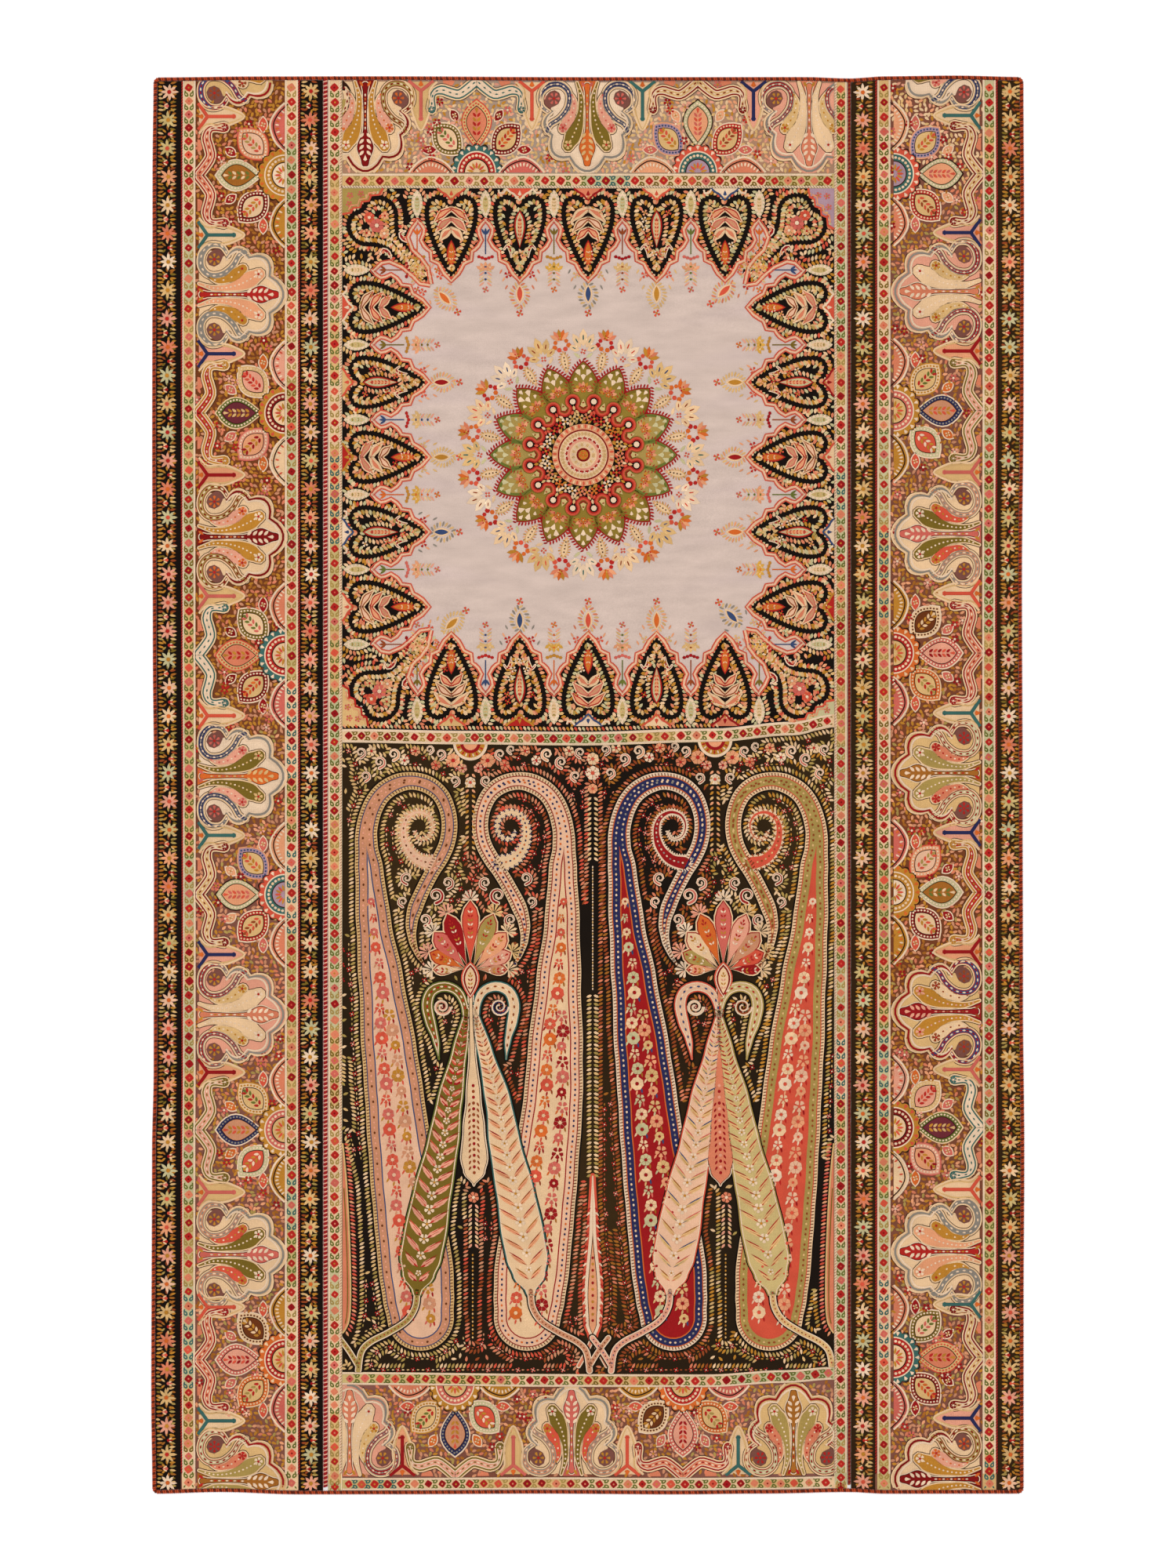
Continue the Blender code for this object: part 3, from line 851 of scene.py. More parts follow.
darkGuard = {
    "stars": ("ivory", "straw", "pink", "peach", "paleGreen", "salmon", "cream", "mint", "blush", "straw"),
    "leaves": ("gold", "golden", "olive", "straw", "golden", "gold", "sage", "rust"),
    "buds": ("red", "rose", "crimson", "coral"),
    "starPitch": 36.2,
    "leafPitch": 5.0,
}


def workStar(work, x, y, radius, dye, heart, level, petals=8):
    for k in range(petals):
        angle = 2 * math.pi * (k + rng.uniform(-0.12, 0.12)) / petals
        reach = radius * rng.uniform(0.86, 1.08)
        addStitch(work, "leaf", x + reach * 0.56 * math.cos(angle), y + reach * 0.56 * math.sin(angle), angle,
                  reach * 0.95, radius * 0.35, dye, level)
    addStitch(work, "dot", x, y, 0, radius * 0.5, radius * 0.5, heart, level + 3)


def workDarkGuard(work, x, width, start, end, ground="black", level=1):
    half = width / 2
    addFill(work, [(x - half, start), (x + half, start), (x + half, end), (x - half, end)], ground, level)
    stars = np.arange(start + 14, end, darkGuard["starPitch"])
    for i, y in enumerate(stars):
        dye = rng.choice(darkGuard["stars"])
        workStar(work, x + rng.uniform(-1, 1), y, 11.5, dye, rng.choice(("gold", "orange", "coral", "red")), level + 2)
        budY = y + darkGuard["starPitch"] / 2
        side = 1 if i % 2 else -1
        bud = rng.choice(darkGuard["buds"])
        for lean in (-0.6, 0.0, 0.6):
            addStitch(work, "leaf", x + side * (1 + 3 * math.cos(lean)), budY + 3 * math.sin(lean),
                      lean if side > 0 else math.pi + lean, 6.5, 2.8, "cream" if lean else bud, level + 2)
        addStitch(work, "dot", x + side * 1.5, budY, 0, 4.4, 4.4, bud, level + 4)
        for across, along, turn in ((-5, -4, 0.7), (-5, 4, -0.7), (5, -5, -0.8), (5, 5, 0.8), (-1, -8, 1.4), (1, 8, 1.7)):
            addStitch(work, "leaf", x + across, budY + along, turn, 6.4, 2.8, rng.choice(darkGuard["leaves"]), level + 1)
    for side in (-1, 1):
        for y in np.arange(start + 2, end, darkGuard["leafPitch"]):
            nearest = min(abs(y - s) for s in stars)
            length = 8.5 if nearest > 9 else 6.0
            inner = rng.uniform(-0.6, 0.6)
            rim = 6.0 if side * (x - 750) < 0 else 2.6
            addStitch(work, "leaf", x + side * (half - rim - length / 2 + inner), y, rng.uniform(-0.3, 0.3),
                      length, 3.1, rng.choice(darkGuard["leaves"]), level + 1)


def workDashes(work, line, first, second, width=2.2, pitch=3.6, level=3):
    # a fine join whipped in two colours
    addRow(work, line, first, width, level)
    for x, y, angle in evenSteps(line, pitch):
        addStitch(work, "bar", x, y, angle + 0.8, pitch * 0.95, width * 0.5, second, level + 4, margin=-1)


top, bottom = sides["top"], sides["bottom"]
rightEdge, leftEdge = sides["right"], sides["left"]
borders = {
    "border_panel_left": {"guards": ((214.6, 33), (396.4, 30.5)), "lights": (241, 372), "joins": (232.3, 381.5)},
    "border_panel_right": {"guards": ((1100.6, 31), (1287.4, 33)), "lights": (1127.2, 1261.5),
                           "joins": (1117.3, 1270.9)},
}
for name, plan in borders.items():
    work = works[name]
    dark = "black" if name.endswith("left") else "oliveBlack"
    for x, width in plan["guards"]:
        workDarkGuard(work, x, width, top, bottom, dark if x > 400 else "black")
    for x in plan["lights"]:
        workLightGuard(work, True, x, top, bottom)
    for x in plan["joins"]:
        workDashes(work, [(x, y) for y in np.arange(top, bottom, 24.0)], "red", "brownBlack")
workLightGuard(works["band_left"], True, 427.0, top, bottom, 16.6)
workLightGuard(works["band_right"], True, 1072.4, top, bottom, 15.6)
workLightGuard(works["band_top"], False, 231.0, middleLeft, middleRight, 17.6)
workLightGuard(works["band_bottom"], False, (1884.1 + bottom) / 2, middleLeft, middleRight, bottom - 1884.3)
for name in ("middle", "low"):
    workLightGuard(works["band_" + name], False, lambda x, n=name: bandY(n, x), middleLeft, middleRight, 16.0)
for name, x in (("band_left", 434.6), ("band_right", 1065.6)):
    workDashes(works[name], [(x, y) for y in np.arange(top, bottom, 24.0)], "cream", "rust", 1.8)
workDashes(works["band_top"], [(x, 238.6) for x in np.arange(middleLeft, middleRight, 24.0)], "cream", "brownBlack", 1.8)
print("guards planned")


lamps = {"worldStrength": 1.28, "keyStrength": 56.0, "keySize": 4.0, "keyPlace": (-1.6, 2.2, 4.2)}


def studio():
    floor = objectFrom("floor", bpy.data.meshes.new("floor"))
    floor.data.from_pydata([(-9, -9, 0), (9, -9, 0), (9, 9, 0), (-9, 9, 0)], [], [(0, 1, 2, 3)])
    material, tree, shader = newMaterial("matteWhitePaperFloor")
    shader.inputs["Base Color"].default_value = (0.93, 0.93, 0.93, 1)
    shader.inputs["Roughness"].default_value = 1.0
    shader.inputs["Specular IOR Level"].default_value = 0.0
    floor.data.materials.append(material)
    floor.location.z = -0.0002
    world = bpy.data.worlds.new("studioDaylight")
    world.use_nodes = True
    world.node_tree.nodes["Background"].inputs["Color"].default_value = (1, 1, 1, 1)
    world.node_tree.nodes["Background"].inputs["Strength"].default_value = lamps["worldStrength"]
    bpy.context.scene.world = world
    key = bpy.data.lights.new("softWindow", "AREA")
    key.energy, key.size = lamps["keyStrength"], lamps["keySize"]
    lamp = objectFrom("softWindow", key)
    lamp.location = lamps["keyPlace"]
    lamp.rotation_euler = (-Vector(lamps["keyPlace"])).to_track_quat("-Z", "Y").to_euler()
    bpy.context.scene.view_settings.view_transform = "Standard"


def photoCamera():
    # straight above, taking in the draft sheet with its margins
    lens, sensor = 85.0, 36.0
    camera = bpy.data.cameras.new("overheadCamera")
    camera.lens, camera.sensor_width = lens, sensor
    made = objectFrom("overheadCamera", camera)
    x = cadLow.x + (draft["sheetWidth"] / 2 - draft["left"]) * unit
    y = cadHigh.y - (draft["sheetHeight"] / 2 - draft["top"]) * unit
    made.location = (x, y, draft["sheetHeight"] * unit * lens / sensor)
    bpy.context.scene.camera = made


def finishPiece(piece, nodes=()):
    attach(piece, "root")
    if nodes:
        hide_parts(*nodes)
    return piece


# Motifs are drawn in a frame of their own: u runs along, v across.
def spotAt(work, x, y, along=(1.0, 0.0), across=(0.0, 1.0)):
    return {"work": work, "x": x, "y": y, "u": along, "v": across}


def onDraft(spot, points):
    (ux, uy), (vx, vy) = spot["u"], spot["v"]
    return [(spot["x"] + u * ux + v * vx, spot["y"] + u * uy + v * vy) for u, v in points]


def flipped(points, sign):
    return [(u * sign, v) for u, v in points]


def fillOn(spot, shape, dye, level, mark=True):
    addFill(spot["work"], onDraft(spot, shape), dye, level, mark)


def rowOn(spot, line, dye, width=2.2, level=2, closed=False):
    addRow(spot["work"], onDraft(spot, line), dye, width, level, closed)


def stitchOn(spot, kind, u, v, turn, length, width, dye, level=2, margin=0.8):
    (x, y), (aheadX, aheadY) = onDraft(spot, [(u, v), (u + math.cos(turn), v + math.sin(turn))])
    addStitch(spot["work"], kind, x, y, math.atan2(aheadY - y, aheadX - x), length, width, dye, level, margin=margin)


def nested(spot, shapeOf, layers, level):
    # one shape inside another: a dye, and how far in it starts
    for i, (dye, trim) in enumerate(layers):
        fillOn(spot, shapeOf(trim), dye, level + i)


def trail(spot, line, pitch, kind, length, width, someDyes, level, aside=0.0, lean=0.0, closed=False, twin=False):
    # stitches at an even pitch along a line, or in pairs that lean away from it
    for k, (u, v, angle) in enumerate(evenSteps(line, pitch, pitch / 2, closed)):
        for side in ((1, -1) if twin else (1,)):
            stitchOn(spot, kind, u - math.sin(angle) * aside * side, v + math.cos(angle) * aside * side,
                     angle + lean * side, length, width, someDyes[k % len(someDyes)], level)


def sprig(spot, base, tip, someDyes, level, length=5.0, pitch=5.0):
    # a little stem of paired leaves with a bud at its tip
    trail(spot, [base, tip], pitch, "leaf", length, length * 0.5, someDyes, level, length * 0.42, 0.7, twin=True)
    angle = math.atan2(tip[1] - base[1], tip[0] - base[0])
    stitchOn(spot, "drop", tip[0], tip[1], angle, length * 1.1, length * 0.6, someDyes[-1], level)


def posy(spot, u, v, size, petal, heart, level, petals=5):
    for k in range(petals):
        angle = 2 * math.pi * (k + 0.3) / petals
        stitchOn(spot, "drop", u + size * 0.3 * math.cos(angle), v + size * 0.3 * math.sin(angle), angle,
                 size * 0.5, size * 0.42, petal, level)
    stitchOn(spot, "dot", u, v, 0, size * 0.32, size * 0.32, heart, level + 3)


def petalOn(spot, base, tip, width, outline, frame, frameDots, filling, twigs, level, belly=0.5):
    # a petal with a dotted frame and a leafy twig inside
    def shapeOf(trim):
        return leafShape(base, tip, width, belly, trim, 9)
    nested(spot, shapeOf, ((outline, 0), (frame, 1.7), ("brownBlack", 6.6), (filling, 7.6)), level)
    trail(spot, shapeOf(4.2), 4.2, "dot", 2.9, 2.5, (frameDots,), level + 3, closed=True)
    (u0, v0), (u1, v1) = base, tip
    sprig(spot, (u0 + (u1 - u0) * 0.28, v0 + (v1 - v0) * 0.28), (u0 + (u1 - u0) * 0.72, v0 + (v1 - v0) * 0.76),
          twigs, level + 4, 7.0, 5.6)


def curlOn(spot, u, v, radius, hand, dye, level, rim="ivory", turns=1.35):
    # a scroll that winds in on itself
    count = max(10, round(radius * 2.2))
    line = []
    for k in range(count + 1):
        share = k / count
        reach = radius * (1 - 0.8 * share)
        turn = math.pi / 2 + hand * 2 * math.pi * turns * share
        line.append((u + reach * math.cos(turn), v + reach * math.sin(turn)))
    thick = radius * 0.55
    nested(spot, lambda trim: limbShape(line[::2], ((0, thick), (1, thick * 0.5)), trim, 3.0), ((rim, 0), (dye, 1.3)), level)


pairPart = {
    "club": ([(0, 7), (0, 101)], ((0, 12), (0.08, 9), (0.4, 7), (0.56, 8), (0.8, 25), (1, 13))),
    "hook": ([(50, 40), (62, 31), (63, 16), (52, 6), (36, 5), (25, 15), (26, 32), (37, 46), (50, 54), (55, 63)],
             ((0, 7), (0.3, 11), (1, 9))),
    "inner": ([(27, 9), (18, 24), (21, 42), (33, 59)], ((0, 5), (0.5, 13), (0.8, 20), (1, 16))),
    "outer": ([(14, 2), (8, 24), (12, 52), (26, 80)], ((0, 7), (0.4, 12), (0.85, 25), (1, 19))),
    "cusps": [(0, 0), (-30, 0), (-57, 20), (-49, 38), (-50, 69), (-25, 97), (25, 97), (50, 69), (49, 38), (57, 20),
              (30, 0)],
}


def workPair(spot, envelope, chain, club, leaf, outer, inner, hook, cell):
    # two hooked limbs on each side of a club, all in one lobed outline
    lobes = scallopLine(pairPart["cusps"][3:9], -0.38, 7)
    body = [(0, 2), (-40, 2), (-57, 12), (-54, 30)] + lobes + [(54, 30), (57, 12), (40, 2)]
    fillOn(spot, body, envelope, 1)
    for size, dye, width in ((1.02, "brownBlack", 1.2), (1.0, "cream", 3.0), (0.945, chain, 2.8), (0.89, "ivory", 2.6)):
        line = [(u * size, 30 + (v - 30) * size) for u, v in lobes]
        rowOn(spot, line, dye, width, 2)
        if dye == chain:
            trail(spot, line, 4.4, "dot", 2.4, 1.5, ("ivory", cell), 5)
    for sign in (-1, 1):
        for part, dye, dots in (("outer", outer, leaf), ("inner", inner, cell)):
            centre, widths = pairPart[part]
            centre = flipped(centre, sign)
            nested(spot, lambda trim: limbShape(centre, widths, trim), (("brownBlack", 0), ("cream", 0.9), (dye, 2.6)), 3)
            line = curveThrough(centre, 4.0)
            trail(spot, line[2:-1], 5.6, "dot", 2.8, 2.3, (dots, "ivory"), 6)
            end = line[-1]
            posy(spot, end[0], end[1] - 1, 10.5, dots, "red", 6)
        centre, widths = pairPart["hook"]
        centre = flipped(centre, sign)
        fillOn(spot, limbShape(flipped([(52, 40), (54, 30), (45, 21)], sign), ((0, 3), (0.5, 13), (1, 17)), -1), "mauve", 2)
        for turn in range(0, 360, 60):
            angle = math.radians(turn)
            stitchOn(spot, "drop", sign * 45 + 5 * math.cos(angle), 22 + 5 * math.sin(angle), angle, 5.6, 3.8, cell, 3)
        stitchOn(spot, "dot", sign * 45, 22, 0, 4, 4, "red", 4)
        nested(spot, lambda trim: limbShape(centre, widths, trim), (("brownBlack", -0.8), ("cream", 0), (chain, 1.8), (hook, 2.8)), 3)
        trail(spot, curveThrough(centre, 4.0)[1:-2], 4.4, "leaf", 4.6, 2.2, ("ivory", chain), 7)
        fillOn(spot, [(0, 0), (sign * 12, 0), (sign * 5, 14), (0, 16)], club, 3)
        stitchOn(spot, "leaf", sign * 5, 5, 2.2 if sign > 0 else 0.94, 9, 3.6, cell, 5)
    centre, widths = pairPart["club"]
    nested(spot, lambda trim: limbShape(centre, widths, trim, 3.0), (("ivory", 0), ("brownBlack", 1.2), (club, 2.0)), 4)
    trail(spot, [(0, 16), (0, 60)], 5.0, "leaf", 4.2, 2.0, (leaf, cell), 7)
    trail(spot, [(0, 64), (0, 94)], 7.2, "leaf", 8.4, 4.0, (leaf,), 7, 5.0, 0.8, twin=True)
    stitchOn(spot, "drop", 0, 95, math.pi / 2, 8, 5, leaf, 7)


def workRosette(spot, disc, ring, scallop, eyes, straight, lower, upper, buds, crescents, depth=113):
    # half a rosette on the inner edge, with petals, buds and two low crescents
    for sign, dye in zip((-1, 1), crescents):
        line = curveThrough([(sign * 30, depth), (sign * 44, depth - 13), (sign * 64, depth - 19),
                             (sign * 80, depth - 12), (sign * 92, depth)], 4.0)
        fillOn(spot, line, dye, 1)
        rowOn(spot, line, "ivory", 2.6, 2)
        rowOn(spot, [(u * 0.96 + sign * 2.4, v + 4.4) for u, v in line], "brownBlack", 1.6, 2)
        trail(spot, [(u, v + 9) for u, v in line[3:-3]], 4.6, "leaf", 5.6, 2.4, ("ivory", eyes), 3, 0, math.pi / 2)
        petalOn(spot, (sign * 20, depth - 22), (sign * 60, depth - 60), 40, *(lower if sign < 0 else upper), 2)
        for bud, (base, tip) in zip(buds, (((sign * 53, depth - 28), (sign * 76, depth - 28)),
                                           ((sign * 24, depth - 62), (sign * 36, depth - 78)))):
            nested(spot, lambda trim: leafShape(base, tip, 13, 0.5, trim, 6), (("ivory", 0), (bud, 1.5)), 2)
            posy(spot, (base[0] + tip[0]) / 2, (base[1] + tip[1]) / 2, 6.5, "cream", "gold", 5, 4)
    petalOn(spot, (0, depth - 28), (0, depth - 91), 42, *straight, 3, 0.56)
    count = 60
    for radius, dye, level in ((3.4, "brownBlack", 4), (2.2, scallop, 5)):
        wavy = []
        for k in range(count + 1):
            turn = math.pi + math.pi * k / count
            reach = 30.5 + radius * 1.8 * abs(math.sin(9 * math.pi * k / count)) ** 0.6
            wavy.append((reach * math.cos(turn), depth + reach * math.sin(turn)))
        fillOn(spot, wavy, dye, level)
    for k in range(9):
        turn = math.pi * (1 + (k + 0.5) / 9)
        stitchOn(spot, "drop", 30.5 * math.cos(turn), depth + 30.5 * math.sin(turn), turn, 5.8, 4.8, eyes, 6)
    for radius, dye, level in ((26.5, "ivory", 6), (24.8, ring, 7), (17.0, "brownBlack", 8), (15.6, disc, 9)):
        fillOn(spot, discShape(0, depth, radius, 180, 360, 3.0), dye, level)
    trail(spot, discShape(0, depth, 20.8, 180, 360, 3.0), 5.0, "dot", 4.0, 3.6, ("ivory", "cream"), 8)
    for k in range(7):
        turn = math.pi * (1 + (k + 0.5) / 7)
        stitchOn(spot, "leaf", 8.6 * math.cos(turn), depth + 8.6 * math.sin(turn), turn, 9.0, 3.2, ("gold", "coral")[k % 2], 10)


def workGarland(spot, first, second):
    for sign in (-1, 1):
        centre = flipped([(2, 2), (12, 10), (24, 17), (36, 15), (48, 12), (59, 17), (61, 35)], sign)
        nested(spot, lambda trim: limbShape(centre, ((0, 16), (0.6, 15), (0.82, 11), (1, 15)), trim),
               (("brownBlack", -0.8), ("cream", 0), (first, 1.8), ("ivory", 3.6), (second, 4.8)), 3)
        trail(spot, curveThrough(centre, 4.0), 4.6, "leaf", 4.4, 2.0, (first, "ivory"), 8)
        posy(spot, sign * 61, 36, 8.5, first, "ivory", 9, 6)
        fillOn(spot, discShape(sign * 38, 0, 8, 0, 180, 3.0), "salmon", 2)


def workBracket(spot, dye, filling):
    outline = [(-22, 2), (-12, 13), (-13, 30), (-10, 44), (0, 61), (10, 44), (13, 30), (12, 13), (22, 2)]
    fillOn(spot, curveThrough(outline, 4.0), filling, 1)
    for size, lineDye, width in ((1.0, "cream", 2.8), (0.8, "straw", 1.8)):
        rowOn(spot, [(u * size, v * (0.9 + size / 10)) for u, v in curveThrough(outline, 4.0)], lineDye, width, 2)
    for line in ([(-17, 1), (0, 13)], [(17, 1), (0, 13)], [(0, 11), (0, 47)]):
        rowOn(spot, line, dye, 4.4, 3)
        trail(spot, line, 5.2, "dot", 2.0, 1.7, ("pink",), 7)
    stitchOn(spot, "dot", 0, 47, 0, 6.5, 6.5, dye, 4)
    stitchOn(spot, "drop", 0, 4, math.pi / 2, 8, 7, "orange", 4)


# Dyes of each motif in the borders.
pairDyes = [
    ("straw", "crimson", "crimson", "pink", "gold", "cream", "blue", "rust"),
    ("cream", "greyBlue", "red", "ivory", "peach", "gold", "greyBlue", "gold"),
    ("cream", "deepRed", "deepRed", "ivory", "gold", "pink", "sage", "orange"),
    ("ivory", "greyBlue", "orange", "straw", "olive", "pink", "navy", "rose"),
    ("pink", "greyBlue", "salmon", "ivory", "cream", "straw", "crimson", "gold"),
    ("cream", "greyBlue", "rose", "ivory", "olive", "coral", "tan", "gold"),
    ("straw", "crimson", "golden", "ivory", "sage", "salmon", "mint", "red"),
]
rosetteDyes = [
    ("ivory", "gold", "gold", "orange", ("ivory", "mint", "ivory", "golden", ("leaf", "cream")),
     ("coral", "peach", "ivory", "blush", ("coral", "sage")), ("ivory", "deepRed", "ivory", "cream", ("coral", "gold")),
     ("coral", "crimson"), ("rose", "gold")),
    ("cream", "deepRed", "gold", "coral", ("cream", "leaf", "ivory", "plum", ("gold", "straw")),
     ("ivory", "straw", "cream", "pink", ("red", "coral")), ("rose", "pink", "ivory", "peach", ("crimson", "gold")),
     ("orange", "rose"), ("pink", "cream")),
    ("cream", "red", "teal", "ivory", ("coral", "straw", "coral", "salmon", ("red", "gold")),
     ("ivory", "olive", "ivory", "cream", ("rose", "leaf")), ("ivory", "deepRed", "ivory", "straw", ("red", "orange")),
     ("crimson", "deepRed"), ("salmon", "rose")),
    ("lilac", "teal", "coral", "ivory", ("brownBlack", "mint", "ivory", "peach", ("rose", "coral")),
     ("peach", "lilac", "blue", "straw", ("gold", "coral")), ("ivory", "red", "cream", "straw", ("coral", "rust")),
     ("rose", "peach"), ("peach", "salmon")),
    ("straw", "rose", "gold", "ivory", ("ivory", "navy", "greyBlue", "tan", ("gold", "coral")),
     ("gold", "cream", "gold", "straw", ("red", "leaf")), ("ivory", "mint", "ivory", "coral", ("ivory", "gold")),
     ("coral", "orange"), ("salmon", "gold")),
    ("straw", "red", "orange", "cream", ("ivory", "rose", "ivory", "pink", ("crimson", "coral")),
     ("ivory", "cream", "brown", "brown", ("gold", "cream")), ("cream", "orange", "cream", "straw", ("red", "sage")),
     ("coral", "rose"), ("gold", "rose")),
]
garlandDyes = [("crimson", "salmon"), ("gold", "red"), ("teal", "ivory"), ("deepRed", "straw"), ("olive", "pink")]
bracketDyes = [("coral", "cream"), ("navy", "pink"), ("rose", "straw"), ("teal", "cream"), ("crimson", "peach")]

# Where the motifs stand along each side: middles of pairs, rosettes and brackets, and where the dyes start.
bandPlan = [
    ("border_panel_left", (252, None), 1, 1.0, (74, 376, 685, 990, 1294, 1600, 1890), (224, 527, 836, 1141, 1441, 1734), 0),
    ("border_panel_right", (1251, None), -1, 1.0, (74, 372, 681, 986, 1290, 1596, 1886),
     (222, 524, 833, 1138, 1438, 1731), 3),
    ("end_border_top", (None, 103), 1, 0.94, (466, 749, 1032), (608, 890), 2),
    ("end_border_bottom", (None, 1882), -1, 0.94, (446, 729, 1012), (580.5, 871), 4),
]


def workBands():
    for name, (lineX, lineY), inward, size, pairs, rosettes, offset in bandPlan:
        work = works[name]
        upright = lineY is None
        deep = 1.0 if upright else 1.04

        def spotFor(middle):
            if upright:
                return spotAt(work, lineX, middle, (0.0, size), (deep * inward * 0.985, 0.0))
            return spotAt(work, middle, lineY, (size, 0.0), (0.0, deep * inward))
        for k, middle in enumerate(rosettes):
            workRosette(spotFor(middle), *rosetteDyes[(k + offset) % len(rosetteDyes)])
            workGarland(spotFor(middle), *garlandDyes[(k + offset) % len(garlandDyes)])
        for k, middle in enumerate(pairs):
            workPair(spotFor(middle), *pairDyes[(k + offset) % len(pairDyes)])
        stops = sorted(list(pairs) + list(rosettes))
        for k, (a, b) in enumerate(zip(stops, stops[1:])):
            workBracket(spotFor((a + b) / 2), *bracketDyes[(k * 3 + offset) % len(bracketDyes)])


def isTaken(work, x, y):
    return work["taken"][min(max(int(y / 2), 0), 999), min(max(int(x / 2), 0), 749)]


def scatterLeaves(work, left, right, top, bottom, pitch, length, width, dyesAt, blossoms=(), level=1):
    # the ground between the motifs, strewn with single leaves and a small flower here and there
    y = top
    while y < bottom:
        x = left + rng.uniform(0, pitch)
        while x < right:
            px, py = x + rng.uniform(-1.3, 1.3), y + rng.uniform(-1.3, 1.3)
            if isInside(work, px, py, 2.0) and not isTaken(work, px, py):
                if blossoms and rng.random() < 0.045:
                    posy(spotAt(work, px, py), 0, 0, 10.0, rng.choice(blossoms), rng.choice(("gold", "ivory")), level + 1)
                else:
                    addStitch(work, "leaf", px, py, rng.choice((0.4, -0.4, 1.2, 1.9)) + rng.uniform(-0.3, 0.3),
                              length, width, rng.choice(dyesAt(px, py)), level)
            x += pitch * rng.uniform(0.85, 1.15)
        y += pitch * 0.92


def borderLeafDyes(x, y):
    if x < 440 and y < 930:
        return ("gold", "gold", "tan", "golden", "salmon")
    if y < 240:
        return ("straw", "cream", "pink", "gold", "straw", "peach", "cream")
    return ("gold", "tan", "golden", "gold", "sage", "salmon", "tan", "golden", "peach")


workBands()
borderBlossoms = ("red", "rose", "crimson", "pink")
for name, left, right, top, bottom in (
        ("border_panel_left", 250, 363, sides["top"], sides["bottom"]),
        ("border_panel_right", 1136, 1253, sides["top"], sides["bottom"]),
        ("end_border_top", middleLeft, middleRight, sides["top"], 221),
        ("end_border_bottom", middleLeft, middleRight, 1757, 1883)):
    scatterLeaves(works[name], left, right, top, bottom, 5.9, 7.2, 3.7, borderLeafDyes, borderBlossoms)
print("paisley bands planned")

def shifted(line, distance):
    # a line moved to its own left by a distance
    moved = []
    for i, (x, y) in enumerate(line):
        (xa, ya), (xb, yb) = line[max(i - 1, 0)], line[min(i + 1, len(line) - 1)]
        size = math.hypot(xb - xa, yb - ya) or 1.0
        moved.append((x + (yb - ya) / size * distance, y - (xb - xa) / size * distance))
    return moved


# The medallion field's frame, drawn for one side: u from the middle of a spade, v in from the edge.
frameHalf = [(-43, 38.5), (-37, 45), (-33, 52), (-34, 59), (-37, 66), (-33, 73), (-29, 77), (-25, 80), (-24, 91),
             (-15, 95), (-12, 101), (-8, 108), (0, 117)]
frameCorner = [(96.4, 40), (88.3, 51.4), (83.4, 62.4), (89.4, 79), (101, 90), (109, 101), (112.4, 122.4)]
frameCornerDown = [(101.9, 39), (92.4, 49.4), (90.4, 60.4), (97.4, 76.9), (108.4, 90.4), (118, 99.8), (122.4, 112.4)]
spadeLine = [(0, 23), (8, 15), (18, 11), (27, 15), (31, 27), (30, 43), (25, 61), (17, 80), (8, 97), (0, 109)]
frameSides = [
    {"from": (436.6, 240.6), "along": (1, 0), "across": (0, 1), "length": 627.2, "first": 95.5, "scale": 1.0,
     "corner": frameCorner},
    {"from": (1063.8, 240.6), "along": (0, 1), "across": (-1, 0), "length": 685.4, "first": 104.0, "scale": 0.94,
     "corner": frameCornerDown},
    {"from": (1063.8, 926.0), "along": (-1, 0), "across": (0, -1), "length": 627.2, "first": 95.5, "scale": 1.0,
     "corner": frameCorner},
    {"from": (436.6, 926.0), "along": (0, -1), "across": (1, 0), "length": 685.4, "first": 104.0, "scale": 0.94,
     "corner": frameCornerDown},
]
medallionDyes = {
    "leaves": ("straw", "mint", "peach", "cream", "salmon", "gold"),
    "inner": (("straw", "cream", "gold"), ("sage", "straw", "mint"), ("gold", "peach", "straw")),
    "outer": ("peach", "gold", "straw", "coral", "cream", "mint", "salmon"),
    "blossoms": ("red", "crimson", "coral", "ivory", "pink"),
    "halves": (("coral", "straw"), ("ivory", "coral"), ("crimson", "salmon"), ("coral", "cream"), ("blue", "ivory"),
               ("gold", "red")),
    "niches": (("orange", "gold"), ("blue", "red"), ("olive", "gold"), ("rust", "crimson"), ("leaf", "rose")),
}


